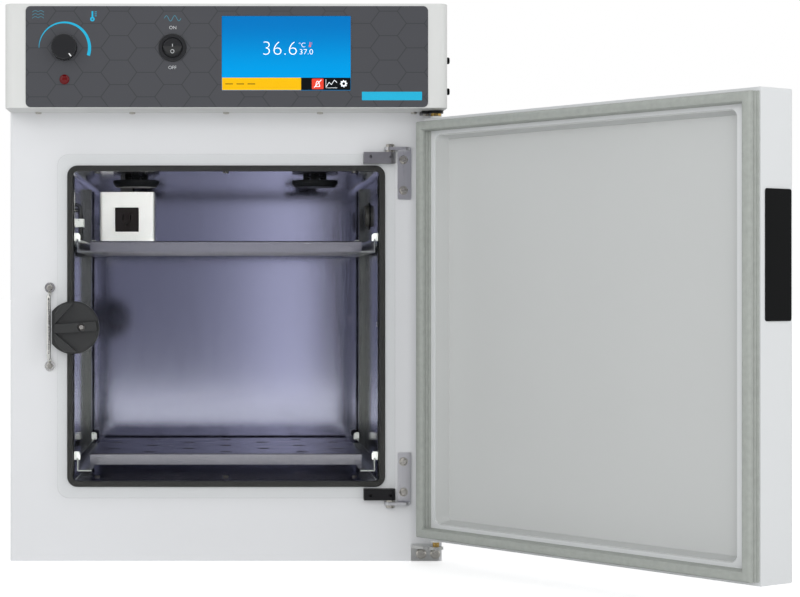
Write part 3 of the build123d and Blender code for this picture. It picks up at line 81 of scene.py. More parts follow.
class Wire:
    """A number or colour inside a finish, with the usual arithmetic."""

    def __init__(self, finish, socket):
        self.finish = finish
        self.socket = socket

    def maths(self, operation, *others, flip=False):
        values = [self, *others]
        if flip:
            values.reverse()
        return self.finish.add("ShaderNodeMath", {"operation": operation}, dict(enumerate(values)))

    def __add__(self, other):
        return self.maths("ADD", other)

    def __sub__(self, other):
        return self.maths("SUBTRACT", other)

    def __mul__(self, other):
        return self.maths("MULTIPLY", other)

    def __truediv__(self, other):
        return self.maths("DIVIDE", other)

    def __pow__(self, other):
        return self.maths("POWER", other)

    def __radd__(self, other):
        return self.maths("ADD", other)

    def __rsub__(self, other):
        return self.maths("SUBTRACT", other, flip=True)

    def __rmul__(self, other):
        return self.maths("MULTIPLY", other)

    def __rtruediv__(self, other):
        return self.maths("DIVIDE", other, flip=True)

    def __abs__(self):
        return self.maths("ABSOLUTE")

    def wrap(self, period):
        return self.maths("FLOORED_MODULO", period)

    def most(self, other):
        return self.maths("MAXIMUM", other)

    def below(self, other):
        return self.maths("LESS_THAN", other)

    def ramp(self, low, high, to_low=0.0, to_high=1.0):
        """Eased change from one value to another while this one goes from low to high."""
        settings = {"interpolation_type": "SMOOTHSTEP"}
        values = {"Value": self, "From Min": low, "From Max": high, "To Min": to_low, "To Max": to_high}
        return self.finish.add("ShaderNodeMapRange", settings, values)


class Finish:
    """One procedural material with its principled shader."""

    def __init__(self, name, colour, rough=0.5, metal=0.0, coat=0.0):
        self.colour = colour
        self.material = bpy.data.materials.new(name)
        self.material.use_nodes = True
        self.material.diffuse_color = colour
        self.tree = self.material.node_tree
        self.shader = self.tree.nodes["Principled BSDF"]
        self.output = self.tree.nodes["Material Output"]
        self.set("Base Color", colour)
        self.set("Roughness", rough)
        self.set("Metallic", metal)
        self.set("Coat Weight", coat)

    def add(self, kind, settings=None, values=None, out=0):
        """Adds a node, with its settings and its socket values, and gives one of its outputs."""
        node = self.tree.nodes.new(kind)
        for key, value in (settings or {}).items():
            setattr(node, key, value)
        for key, value in (values or {}).items():
            if isinstance(value, Wire):
                self.tree.links.new(value.socket, node.inputs[key])
            else:
                node.inputs[key].default_value = value
        return Wire(self, node.outputs[out])

    def set(self, key, value):
        """Gives one socket of the principled shader a value or a link."""
        if isinstance(value, Wire):
            self.tree.links.new(value.socket, self.shader.inputs[key])
        else:
            self.shader.inputs[key].default_value = value

    def place(self, stretch=(1.0, 1.0, 1.0)):
        """Object coordinates, stretched along each axis."""
        spot = self.add("ShaderNodeTexCoord", out="Object")
        return self.add("ShaderNodeVectorMath", {"operation": "MULTIPLY"}, {0: spot, 1: stretch})

    def axes(self):
        """The three object coordinates one by one."""
        spot = self.add("ShaderNodeTexCoord", out="Object")
        node = self.add("ShaderNodeSeparateXYZ", values={0: spot}).socket.node
        return [Wire(self, socket) for socket in node.outputs]

    def noise(self, scale, detail=2.0, stretch=(1.0, 1.0, 1.0)):
        """Soft noise with about this many spots to the metre."""
        values = {"Vector": self.place(stretch), "Scale": scale, "Detail": detail}
        return self.add("ShaderNodeTexNoise", values=values)

    def blend(self, factor, first, second):
        """A colour between two others."""
        return self.add("ShaderNodeMix", {"data_type": "RGBA"}, {0: factor, 6: first, 7: second}, out=2)

    def drift(self, share, dark, light):
        """Lets the colour wander between a darker and a lighter tone of itself."""
        tint = self.blend(share, shade(self.colour, dark), shade(self.colour, light))
        self.set("Base Color", tint)
        return tint

    def relief(self, height, distance, strength):
        values = {"Height": height, "Distance": distance, "Strength": strength}
        self.set("Normal", self.add("ShaderNodeBump", values=values))


def enamel(name, colour, rough=0.36, peel=0.000008):
    """Sprayed sheet: fine orange peel, slow tone drift and a thin clear gloss."""
    paint = Finish(name, colour, rough, coat=0.12)
    paint.drift(paint.noise(5.0, 3.0), 0.975, 1.02)
    paint.set("Roughness", paint.noise(40.0, 2.0) * 0.10 + (rough - 0.05))
    paint.set("Coat Roughness", 0.18)
    paint.relief(paint.noise(700.0, 1.0), peel, 0.6)
    return paint


def sheet_steel(name, colour, rough=0.30, along="z", spread=0.10):
    """Brushed stainless sheet: long fine streaks along one axis, with a slow change of tone."""
    steel = Finish(name, colour, rough, metal=1.0)
    pull = 0.02         # scale of the pattern along the brushing, where streaks are 50 times as long
    stretch = tuple(pull if axis == along else 1.0 for axis in "xyz")
    streak = steel.noise(700.0, 4.0, stretch)
    broad = steel.noise(26.0, 3.0, stretch)
    steel.drift(streak * 0.5 + broad * 0.5, 1.0 - spread, 1.0 + spread)
    steel.set("Roughness", streak * (rough * 0.5) + rough * 0.75)
    steel.relief(streak, 0.00001, 0.5)
    return steel


def plated(name, colour, rough=0.25, metallic=1.0):
    """Zinc or nickel plate: clouded, with small stains."""
    plate = Finish(name, colour, rough, metal=metallic)
    plate.drift(plate.noise(60.0, 4.0), 0.82, 1.08)
    plate.set("Roughness", plate.noise(220.0, 3.0) * 0.22 + (rough - 0.1))
    return plate


def spangled(name, colour):
    """Galvanised sheet with its crystal pattern."""
    zinc = Finish(name, colour, 0.42, metal=1.0)
    flake = zinc.add("ShaderNodeTexVoronoi", values={"Vector": zinc.place(), "Scale": 90.0}, out="Color")
    level = zinc.add("ShaderNodeRGBToBW", values={0: flake})
    zinc.drift(level, 0.82, 1.12)
    zinc.set("Roughness", level * 0.2 + 0.32)
    return zinc


def moulded(name, colour, rough=0.45, texture=0.00003, coat=0.0, sheen=0.5):
    """Moulded plastic with a fine spark-eroded skin."""
    plastic = Finish(name, colour, rough, coat=coat)
    cloud = plastic.noise(30.0, 3.0)
    plastic.drift(cloud, 0.9, 1.12)
    plastic.set("Roughness", cloud * 0.14 + (rough - 0.07))
    plastic.set("Specular IOR Level", sheen)
    plastic.relief(plastic.noise(1500.0, 2.0), texture, 0.5)
    return plastic


def supple(name, colour, rough=0.55):
    """Extruded rubber or vinyl: dull, with faint drawing lines and dust."""
    rubber = Finish(name, colour, rough)
    dust = rubber.noise(160.0, 4.0)
    rubber.drift(dust, 0.85, 1.2)
    rubber.set("Roughness", dust * 0.2 + (rough - 0.1))
    rubber.relief(rubber.noise(600.0, 2.0), 0.00003, 0.4)
    return rubber


def printed(name, colour, glow=0.0):
    """Screen-printed ink of a slightly uneven tone, lit from behind where it glows."""
    ink = Finish(name, colour, 0.5)
    ink.set("Specular IOR Level", 0.08)
    tint = ink.drift(ink.noise(700.0, 2.0), 0.93, 1.04)
    if glow:
        ink.set("Emission Color", tint)
        ink.set("Emission Strength", glow)
    return ink


def honeycomb_film(name, colour, line):
    """Dark overlay film with a faint stretched honeycomb printed on it."""
    film = Finish(name, colour, 0.42)
    film.set("Specular IOR Level", 0.25)
    cell_tall = 0.0276          # between the flats of a cell
    cell_long = 0.0351          # the same measure along the rows, where the cells are stretched
    first_x, first_z = -0.1212, 0.6145      # middle of one cell
    half_step, step = 0.866, 1.732          # between columns, and between cells of a row, in cell_long
    x, _, z = film.axes()
    up = (z - first_z) / cell_tall + 0.5
    along = (x - first_x) / cell_long + half_step
    near_up = up.wrap(1.0) - 0.5
    near_along = along.wrap(step) - half_step
    far_up = (up - 0.5).wrap(1.0) - 0.5
    far_along = (along - half_step).wrap(step) - half_step
    near = near_up * near_up + near_along * near_along
    far = far_up * far_up + far_along * far_along
    pick = near.below(far)
    cell_up = abs(near_up * pick + far_up * (1.0 - pick))
    cell_along = abs(near_along * pick + far_along * (1.0 - pick))
    edge = 0.5 - (cell_up * 0.5 + cell_along * half_step).most(cell_up)
    mask = edge.ramp(0.008, 0.024, 1.0, 0.0)
    vein = film.noise(2200.0, 2.0)
    base = film.drift(vein, 0.94, 1.06)
    film.set("Base Color", film.blend(mask * 0.75, base, line))
    film.set("Roughness", film.noise(90.0, 2.0) * 0.08 + 0.38)
    film.relief(vein, 0.00001, 0.4)
    return film


def lit_screen(name, top, bottom):
    """Lit touch panel: blue that grows lighter towards the bottom, with a fine grid of dots."""
    screen = Finish(name, top, 0.2)
    low, high = 0.550, 0.622
    share = screen.axes()[2].ramp(low, high)
    grid = screen.noise(3000.0, 1.0) * 0.03
    tint = screen.blend(share + grid, bottom, top)
    screen.set("Base Color", tint)
    screen.set("Emission Color", tint)
    screen.set("Emission Strength", 0.03)
    screen.set("Specular IOR Level", 0.03)
    return screen


def tinted_glass(name, tint):
    """Clear pane: mostly see-through, with sheen that rises at a low angle."""
    glass = Finish(name, (0.0, 0.0, 0.0, 1.0), 0.03)
    glass.set("Roughness", glass.noise(14.0, 4.0) * 0.04 + 0.01)
    clear = glass.add("ShaderNodeBsdfTransparent", values={0: tint})
    facing = glass.add("ShaderNodeFresnel", values={"IOR": 1.40})
    sheen = Wire(glass, glass.shader.outputs[0])
    pane = glass.add("ShaderNodeMixShader", values={0: facing * 0.3, 1: clear, 2: sheen})
    glass.tree.links.new(pane.socket, glass.output.inputs[0])
    return glass


def cad_nodes(name):
    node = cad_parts[name]
    return node if isinstance(node, (list, tuple)) else [node]


def dress(finish, *names):
    """Puts a finish on CAD nodes."""
    for name in names:
        for node in cad_nodes(name):
            node.data.materials.clear()
            node.data.materials.append(finish.material)


# Modelling

def clear_choice():
    if bpy.context.object and bpy.context.object.mode != "OBJECT":
        bpy.ops.object.mode_set(mode="OBJECT")
    bpy.ops.object.select_all(action="DESELECT")


@contextmanager
def shaping(piece):
    """Edit mode on one piece with nothing chosen, and back to object mode afterwards."""
    clear_choice()
    piece.select_set(True)
    bpy.context.view_layer.objects.active = piece
    bpy.ops.object.mode_set(mode="EDIT")
    bpy.ops.mesh.select_all(action="DESELECT")
    try:
        yield piece
    finally:
        bpy.ops.object.mode_set(mode="OBJECT")


def choose(piece, faces=None, edges=None, verts=None):
    """Selects by place: each test gets the element, in edit mode."""
    cage = bmesh.from_edit_mesh(piece.data)
    for parts, test in ((cage.verts, verts), (cage.edges, edges), (cage.faces, faces)):
        if test:
            for part in parts:
                part.select_set(bool(test(part)))
    cage.select_flush_mode()
    bmesh.update_edit_mesh(piece.data)


def slab(size, centre):
    """A block at its size and place, the start of a piece."""
    clear_choice()
    bpy.ops.mesh.primitive_cube_add(size=1.0, location=centre)
    piece = bpy.context.object
    piece.scale = size
    bpy.ops.object.transform_apply(location=True, rotation=True, scale=True)
    return piece


def round_edges(piece, width, segments=2, test=None):
    """Bevels the edges that pass a test, or else every edge that turns by more than 30 degrees."""
    turn = math.radians(30)
    with shaping(piece):
        bpy.ops.mesh.select_mode(type="EDGE")
        choose(piece, edges=test or (lambda e: e.calc_face_angle(0.0) > turn))
        bpy.ops.mesh.bevel(offset=width, segments=segments, affect="EDGES")


def seat(piece, name, body, finish, smooth=35.0):
    """Names a finished piece, gives it its finish and lets it ride on its body."""
    clear_choice()
    piece.select_set(True)
    bpy.context.view_layer.objects.active = piece
    bpy.ops.object.transform_apply(location=True, rotation=True, scale=True)
    piece.name = name
    piece.data.name = name
    piece.data.materials.clear()
    piece.data.materials.append(finish.material)
    bpy.ops.object.shade_smooth_by_angle(angle=math.radians(smooth))
    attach(piece, body)


def seat_on_film(piece, name, finish):
    seat(piece, name, "cabinet", finish)


def seat_on_screen(piece, name, finish):
    seat(piece, name, "cabinet", finish)


def swing_open(piece):
    """Turns a piece of the outer door from shut to where the door stands."""
    turn = Matrix.Rotation(door_open, 4, "Z")
    about_hinge = Matrix.Translation(door_axis) @ turn @ Matrix.Translation(-door_axis)
    piece.data.transform(about_hinge @ piece.matrix_world)
    piece.matrix_world = Matrix.Identity(4)


def span(values):
    """Least and greatest of some numbers."""
    values = list(values)
    return min(values), max(values)


def lettering(words, height, x, z, width=None, slim=-0.012):
    """Generic words or figures that face the front, as a thin raised print."""
    thick = 0.00012
    clear_choice()
    bpy.ops.object.text_add(location=(0, 0, 0))
    piece = bpy.context.object
    piece.data.body = words
    piece.data.align_x = "LEFT"
    piece.data.extrude = 0.5
    piece.data.offset = slim
    piece.data.resolution_u = 4
    bpy.ops.object.convert(target="MESH")
    piece = bpy.context.object
    left, right = span(v.co.x for v in piece.data.vertices)
    foot, top = span(v.co.y for v in piece.data.vertices)
    tall = height / (top - foot)
    wide = width / (right - left) if width else tall
    centred = Matrix.Translation((-(left + right) / 2, -(foot + top) / 2, 0))
    upright = Matrix.Rotation(math.radians(90), 4, "X")
    sized = Matrix.Diagonal((wide, tall, thick, 1.0))
    piece.data.transform(Matrix.Translation((x, word_y, z)) @ upright @ sized @ centred)
    return piece


def stroke(points, width, y=film_y, sharp=False, closed=False):
    """A printed line through points given as (x, z), facing the front."""
    thick = 0.0002
    clear_choice()
    bpy.ops.curve.primitive_nurbs_path_add()
    piece = bpy.context.object
    curve = piece.data
    curve.splines.clear()
    spline = curve.splines.new("POLY" if sharp else "NURBS")
    spline.points.add(len(points) - 1)
    for point, (x, z) in zip(spline.points, points):
        point.co = (x, 0.0, z, 1.0)
    spline.use_cyclic_u = closed
    if not sharp:
        spline.order_u = 3
        spline.use_endpoint_u = not closed
    curve.resolution_u = 6
    curve.bevel_depth = width / 2
    curve.bevel_resolution = 2
    curve.use_fill_caps = True
    bpy.ops.object.convert(target="MESH")
    piece = bpy.context.object
    flattened = Matrix.Diagonal((1, thick / width, 1, 1))
    piece.data.transform(Matrix.Translation((0, y, 0)) @ flattened)
    return piece


def merged(pieces):
    """Several prints as one piece."""
    clear_choice()
    for piece in pieces:
        piece.select_set(True)
    bpy.context.view_layer.objects.active = pieces[0]
    bpy.ops.object.join()
    return bpy.context.object


def plate_print(x0, x1, z0, z1, thick=0.00015, y=film_y, corner=0.0):
    """A thin printed or lit area with softened corners, facing the front."""
    piece = slab((x1 - x0, thick, z1 - z0), ((x0 + x1) / 2, y - thick / 2, (z0 + z1) / 2))
    if corner:
        round_edges(piece, corner, 4, lambda e: abs((e.verts[0].co - e.verts[1].co).y) > thick * 0.5)
    border = min(0.0003, (z1 - z0) * 0.2)
    with shaping(piece):
        bpy.ops.mesh.select_mode(type="FACE")
        choose(piece, faces=lambda f: f.normal.y < -0.9)
        bpy.ops.mesh.inset(thickness=border, depth=0.00003)
    return piece


def circle(x, z, across, tall, step):
    """Points round an ellipse, one for every step in degrees."""
    turns = [math.radians(d) for d in range(0, 360, step)]
    return [(x + across * math.cos(a), z + tall * math.sin(a)) for a in turns]


def tapered_arc(radius, start, end, thin, thick, centre):
    """A flat arc whose width grows along it, a narrow grid laid round its centre."""
    x, z = centre
    clear_choice()
    bpy.ops.mesh.primitive_grid_add(x_subdivisions=64, y_subdivisions=1, size=1.0, location=(0, 0, 0))
    piece = bpy.context.object
    for vert in piece.data.vertices:
        share = vert.co.x + 0.5
        angle = start + (end - start) * share
        reach = radius + math.copysign((thin + (thick - thin) * share) / 2, vert.co.y)
        vert.co = (x + reach * math.cos(angle), arc_y, z + reach * math.sin(angle))
    with shaping(piece):
        bpy.ops.mesh.select_all(action="SELECT")
        bpy.ops.mesh.remove_doubles(threshold=0.000001)
        bpy.ops.mesh.normals_make_consistent(inside=False)
        bpy.ops.mesh.extrude_region_move(TRANSFORM_OT_translate={"value": (0.0, 0.00012, 0.0)})
        bpy.ops.mesh.select_all(action="SELECT")
        bpy.ops.mesh.normals_make_consistent(inside=False)
    return piece


def thermometer(x, z, height):
    """A bulb with a stem and three marks, as printed lines."""
    half = height / 2
    bulb = 0.16 * height
    lines = [stroke(circle(x, z - half * 0.62, bulb, bulb, 40), height * 0.14, closed=True),
             stroke([(x, z - half * 0.5), (x, z + half * 0.9)], height * 0.16, sharp=True)]
    for i in range(3):
        level = z + half * (0.75 - 0.38 * i)
        mark = [(x + 0.22 * height, level), (x + 0.42 * height, level)]
        lines.append(stroke(mark, height * 0.06, sharp=True))
    return lines


def cog(radius, centre, teeth=8):
    """A small flat cog with a hole, shaped from one disc."""
    clear_choice()
    bpy.ops.mesh.primitive_cylinder_add(vertices=teeth * 4, radius=radius, depth=0.0002, location=centre,
                                        rotation=(math.radians(90), 0, 0))
    bpy.ops.object.transform_apply(location=True, rotation=True, scale=True)
    piece = bpy.context.object
    middle = Vector(centre)
    pitch = 360 / teeth

    def valley(v):
        flat = v.co - middle
        return math.degrees(math.atan2(flat.z, flat.x)) % pitch > pitch * 0.45

    with shaping(piece):
        bpy.ops.mesh.select_mode(type="VERT")
        choose(piece, verts=valley)
        bpy.ops.transform.resize(value=(0.74, 1.0, 0.74), center_override=centre)
        bpy.ops.mesh.select_mode(type="FACE")
        bpy.ops.mesh.select_all(action="DESELECT")
        choose(piece, faces=lambda f: abs(f.normal.y) > 0.9)
        bpy.ops.mesh.inset(thickness=radius * 0.36, depth=0.0)
        bpy.ops.mesh.bridge_edge_loops()
    return piece


# Settings

def swatch(name, description, code):
    """A colour setting with its usual six-digit code."""
    return FloatVectorProperty(name=name, description=description, subtype="COLOR", size=4,
                               default=hue(code), min=0.0, max=1.0)


def length(name, description, metres):
    return FloatProperty(name=name, description=description, default=metres, unit="LENGTH")


class CabinetColours(bpy.types.PropertyGroup):
    body: swatch("Cabinet", "Enamel of the cabinet", "DCDDDF")
    head: swatch("Control head", "Enamel of the control head", "D3D4D2")
    door: swatch("Outer door", "Enamel of the outer door", "D8DADB")
    panel: swatch("Inner panel", "Powder coat inside the outer door", "C2C4C3")
    seal: swatch("Door seal", "Grey vinyl of the door seal", "9CA09B")
    wall: swatch("Chamber steel", "Stainless sheet of the chamber", "A6A7B8")


class PanelColours(bpy.types.PropertyGroup):
    film: swatch("Overlay", "Dark film of the control head", "494A4E")
    line: swatch("Honeycomb", "Lines of the honeycomb print", "37383B")
    accent: swatch("Accent", "Cyan of the printed marks", "2AB0D6")
    screen_top: swatch("Screen top", "Blue at the top of the screen", "0672BA")
    screen_bottom: swatch("Screen bottom", "Blue at the bottom of the screen", "009AE0")
    band: swatch("Screen band", "Yellow message band", "EFB80C")


class SeriesSizes(bpy.types.PropertyGroup):
    reading: StringProperty(name="Reading", description="Large figures on the screen", default="36.6")
    target: StringProperty(name="Set value", description="Small figures on the screen", default="37.0")
    arc_radius: length("Dial arc", "Radius of the arc printed round the dial", 0.0285)
    arc_thin: length("Arc start", "Width of the arc where it begins", 0.0005)
    arc_thick: length("Arc end", "Width of the arc where it ends", 0.0038)
    seal_height: length("Seal height", "How far the door seal stands from the door", 0.015)
    seal_width: length("Seal width", "Width of the door seal", 0.011)


# Pieces

class Dresser(bpy.types.Operator):
    """Base of every step."""

    bl_options = {"REGISTER", "UNDO"}


class INCUBATOR_OT_painted_sheet(Dresser):
    """Sprays the cabinet, the control head and the outer door"""

    bl_idname = "incubator.painted_sheet"
    bl_label = "Painted sheet"

    def execute(self, context):
        cabinet = context.scene.incubator_cabinet
        dress(enamel("cabinet enamel", tuple(cabinet.body)), "cabinet_shell", "rear_panel")
        dress(enamel("head enamel", tuple(cabinet.head)), "header_housing")
        dress(enamel("door enamel", tuple(cabinet.door)), "door_skin")
        dress(enamel("panel powder coat", tuple(cabinet.panel), 0.5, 0.000012), "door_inner_panel")
        return {"FINISHED"}


class INCUBATOR_OT_chamber_steel(Dresser):
    """Brushes the stainless chamber, its posts, rails and shelves"""

    bl_idname = "incubator.chamber_steel"
    bl_label = "Chamber steel"

    def execute(self, context):
        wall = tuple(context.scene.incubator_cabinet.wall)
        posts = [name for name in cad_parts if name.startswith("shelf_post")]
        rails = [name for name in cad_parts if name.startswith("shelf_rail")]
        dress(sheet_steel("chamber wall steel", wall, 0.11, "z", 0.06), "chamber_liner")
        dress(sheet_steel("post steel", hue("85877F"), 0.22, "z"), *posts)
        dress(sheet_steel("rail steel", hue("C9CCC6"), 0.2, "y"), *rails)
        dress(sheet_steel("shelf steel", hue("B4B3B8"), 0.25, "x", 0.05), "upper_shelf", "lower_shelf")
        dress(plated("clip steel", hue("A9ACA8"), 0.3, 0.5), "shelf_clips", "probe_clip")
        dress(sheet_steel("probe steel", hue("8A8B88"), 0.25, "z"), "chamber_probes", "vent_tubes")
        return {"FINISHED"}


class INCUBATOR_OT_metal_fittings(Dresser):
    """Plates the hinges, brackets, clamps, keeper and screws"""

    bl_idname = "incubator.metal_fittings"
    bl_label = "Metal fittings"

    def execute(self, context):
        dress(plated("zinc screws", hue("C4C1BA"), 0.28),
              "panel_screws", "hinge_screws", "latch_screw", "glass_hinge_pins", "latch_spindle",
              "limit_thermostat")
        dress(plated("bright keeper steel", hue("E8E8E4"), 0.18), "latch_keeper")
        dress(sheet_steel("bracket steel", hue("CFCFD2"), 0.3, "z"),
              "glass_hinge_bracket_top", "glass_hinge_bracket_bottom")
        dress(plated("clamp steel", hue("A7A6AA"), 0.34), "glass_clamp_top")
        dress(moulded("black coated clamp", hue("1B1B1D"), 0.36, sheen=0.2),
              "glass_clamp_bottom", "door_hinge_upper")
        dress(plated("hinge zinc", hue("C9CAC8"), 0.32), "door_hinge_lower")
        dress(spangled("galvanised sheet", hue("B4B6B8")), "base_pan", "electronics_tray", "power_supply")
        dress(plated("brass pin", hue("B99A5A"), 0.25), "door_hinge_pins")
        return {"FINISHED"}


class INCUBATOR_OT_plastics_and_rubber(Dresser):
    """Moulds the black and white plastic parts, the trims and the inner fillings"""

    bl_idname = "incubator.plastics_and_rubber"
    bl_label = "Plastics and rubber"

    def execute(self, context):
        dress(moulded("black moulding", hue("0C0D0E"), 0.42, sheen=0.06),
              "door_pull", "side_plugs", "power_inlet", "ceiling_vent_caps", "access_port_tube")
        dress(moulded("latch moulding", hue("2E2F2F"), 0.34), "latch_knob")
        dress(moulded("dial moulding", hue("1A1B1D"), 0.38),
              "limit_knob", "power_switch_housing", "power_rocker")
        dress(moulded("socket moulding", hue("191412"), 0.4), "outlet_socket")
        dress(moulded("white moulding", hue("EDEDEA"), 0.32), "outlet_box", "door_hinge_bushes")
        dress(supple("black push-on trim", hue("2E2E2C"), 0.42), "opening_gasket", "access_port_plug")
        dress(moulded("red lens", hue("5E0A0E"), 0.12, 0.00001, 0.1, 0.3), "alarm_lamp")
        dress(supple("mineral wool", hue("D8C98E"), 0.9), "insulation", "door_insulation")
        dress(plated("heater foil", hue("D4D4D6"), 0.35), "floor_heater")
        dress(moulded("circuit board", hue("1C5A3A"), 0.4), "control_board")
        return {"FINISHED"}


class INCUBATOR_OT_glass_pane(Dresser):
    """Glazes the inner door"""

    bl_idname = "incubator.glass_pane"
    bl_label = "Glass pane"

    def execute(self, context):
        dress(tinted_glass("clear pane glass", (0.995, 0.998, 0.996, 1.0)), "glass_pane")
        return {"FINISHED"}


class INCUBATOR_OT_overlay_print(Dresser):
    """Prints the honeycomb, the dial arc, the symbols and the switch words on the overlay"""

    bl_idname = "incubator.overlay_print"
    bl_label = "Overlay print"

    def execute(self, context):
        panel = context.scene.incubator_panel
        sizes = context.scene.incubator_sizes
        dress(honeycomb_film("overlay film", tuple(panel.film), tuple(panel.line)), "control_overlay")
        cyan = printed("cyan print", tuple(panel.accent))
        dim = printed("dim cyan print", hue("4C8597"))
        white = printed("white print", hue("D9DCDD"))

        dial = (-0.1827, 0.5871)
        arc_start, arc_end = math.pi, math.radians(-18)
        arc = tapered_arc(sizes.arc_radius, arc_start, arc_end, sizes.arc_thin, sizes.arc_thick, dial)
        seat_on_film(arc, "dial_arc", cyan)

        wave_xs = (-0.2188, -0.2155, -0.2122, -0.2089, -0.2056)
        trough, crest = -0.0012, 0.0016
        waves = []
        for i in range(3):
            z = 0.6283 - i * 0.0034
            points = [(x, z + (crest if turn % 2 else trough)) for turn, x in enumerate(wave_xs)]
            waves.append(stroke(points, 0.0006))
        seat_on_film(merged(waves), "heat_wave_symbol", dim)
        seat_on_film(merged(thermometer(-0.1510, 0.6230, 0.0118)), "thermometer_symbol", cyan)
        sine = [(-0.0700 + i * 0.0021, 0.6202 + 0.0040 * math.sin(i * math.pi / 2.25)) for i in range(10)]
        seat_on_film(stroke(sine, 0.0007), "mains_wave_symbol", dim)

        word_height = 0.0036
        seat_on_film(lettering("ON", word_height, -0.0604, 0.6098), "switch_on_word", white)
        seat_on_film(lettering("OFF", word_height, -0.0608, 0.5648), "switch_off_word", white)
        strip = plate_print(0.1529, 0.2207, 0.5278, 0.5374, 0.0002, corner=0.0006)
        seat_on_film(strip, "plain_cyan_strip", cyan)
        return {"FINISHED"}


class INCUBATOR_OT_screen(Dresser):
    """Lights the touch screen with its figures, its message band and its buttons"""

    bl_idname = "incubator.screen"
    bl_label = "Touch screen"

    def execute(self, context):
        panel = context.scene.incubator_panel
        sizes = context.scene.incubator_sizes
        dress(lit_screen("lit blue screen", tuple(panel.screen_top), tuple(panel.screen_bottom)),
              "touch_display")
        white = printed("screen white", hue("F4FAFF"), 0.25)
        reading = lettering(sizes.reading, 0.0149, 0.0606, 0.5866, width=0.0378, slim=-0.026)
        seat_on_screen(reading, "reading_figures", white)
        seat_on_screen(lettering("°C", 0.0053, 0.0855, 0.5903, width=0.0073), "degree_sign", white)
        target = lettering(sizes.target, 0.0057, 0.0902, 0.5825, width=0.0150)
        seat_on_screen(target, "set_value_figures", white)
        coral = printed("screen coral", hue("E2705F"), 0.2)
        seat_on_screen(merged(thermometer(0.0943, 0.5908, 0.0058)), "screen_thermometer", coral)

        left, split, right = -0.0048, 0.0843, 0.1400
        foot, top = 0.5393, 0.5532
        yellow = printed("screen yellow", tuple(panel.band), 0.06)
        seat_on_screen(plate_print(left, split, foot, top), "message_band", yellow)
        black = printed("screen black", hue("0E1215"))
        seat_on_screen(plate_print(split, right, foot, top), "button_band", black)
        dashes = []
        for i in range(3):
            x = -0.001 + i * 0.0125
            dashes.append(stroke([(x, 0.5462), (x + 0.0085, 0.5462)], 0.0011, button_y, sharp=True))
        seat_on_screen(merged(dashes), "message_dashes", printed("band ink", hue("5A4A12")))

        button = plate_print(0.0964, 0.1097, 0.5403, 0.5523, 0.0001, button_y, 0.001)
        seat_on_screen(button, "mute_button", printed("button red", hue("D8402F"), 0.2))
        bell = [(0.1000, 0.5432), (0.1012, 0.5446), (0.1012, 0.5475), (0.1030, 0.5500), (0.1048, 0.5475),
                (0.1048, 0.5446), (0.1060, 0.5432)]
        bar = [(0.0990, 0.5422), (0.1072, 0.5508)]
        mute = [stroke(bell, 0.0008, symbol_y, closed=True), stroke(bar, 0.0008, symbol_y, sharp=True)]
        seat_on_screen(merged(mute), "mute_symbol", white)
        trend = [(0.1128, 0.5432), (0.1158, 0.5480), (0.1185, 0.5455), (0.1218, 0.5505), (0.1248, 0.5478)]
        axes = [(0.1123, 0.5515), (0.1123, 0.5418), (0.1250, 0.5418)]
        graph = [stroke(trend, 0.0010, button_y, sharp=True), stroke(axes, 0.0005, button_y, sharp=True)]
        seat_on_screen(merged(graph), "trend_symbol", white)
        seat_on_screen(cog(0.0043, (0.1324, button_y, 0.5465)), "settings_symbol", white)
        return {"FINISHED"}


class INCUBATOR_OT_dial_pointer(Dresser):
    """Lays the white pointer line on the dial knob"""

    bl_idname = "incubator.dial_pointer"
    bl_label = "Dial pointer"

    def execute(self, context):
        low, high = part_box("limit_knob")
        centre = (low + high) / 2
        reach = 0.0118
        line = slab((0.0042, 0.0003, 0.0013), (reach, 0.0, 0.0))
        round_edges(line, 0.00012)
        turn = Matrix.Rotation(math.radians(53), 4, "Y")
        place = Matrix.Translation((centre.x, low.y - 0.00005, centre.z))
        line.data.transform(place @ turn)
        seat(line, "dial_pointer", "limit_dial", printed("pointer white", hue("E8EAEA")))
        return {"FINISHED"}


def rocker_face(x, z):
    """Where the rocker's face is at this place and which way it looks, found by a ray."""
    start, forward = Vector((x, -0.5, z)), Vector((0, 1, 0))
    hit, spot, normal, _ = cad_nodes("power_rocker")[0].ray_cast(start, forward)
    if not hit:
        raise RuntimeError("the rocker's face was not found")
    return spot, normal


class INCUBATOR_OT_switch_marks(Dresser):
    """Prints the line and the ring on the rocker"""

    bl_idname = "incubator.switch_marks"
    bl_label = "Switch marks"

    def execute(self, context):
        white = printed("rocker white", hue("C9CCCE"))
        x = -0.0607
        line_z, ring_z = 0.5895, 0.5825
        bar = stroke([(x, line_z - 0.0017), (x, line_z + 0.0017)], 0.0007, 0.0, sharp=True)
        ring = stroke(circle(x, ring_z, 0.0019, 0.0024, 30), 0.0006, 0.0, closed=True)
        for mark, name, z in ((bar, "switch_line_mark", line_z), (ring, "switch_ring_mark", ring_z)):
            spot, normal = rocker_face(x + 0.0004, z)
            tilt = Matrix.Rotation(math.atan2(-normal.z, -normal.y), 4, "X")
            lifted = Vector((0.0, spot.y, z)) + Vector((0.0, normal.y, normal.z)) * 0.0001
            mark.data.transform(Matrix.Translation(lifted) @ tilt @ Matrix.Translation((0, 0, -z)))
            seat(mark, name, "rocker", white)
        return {"FINISHED"}


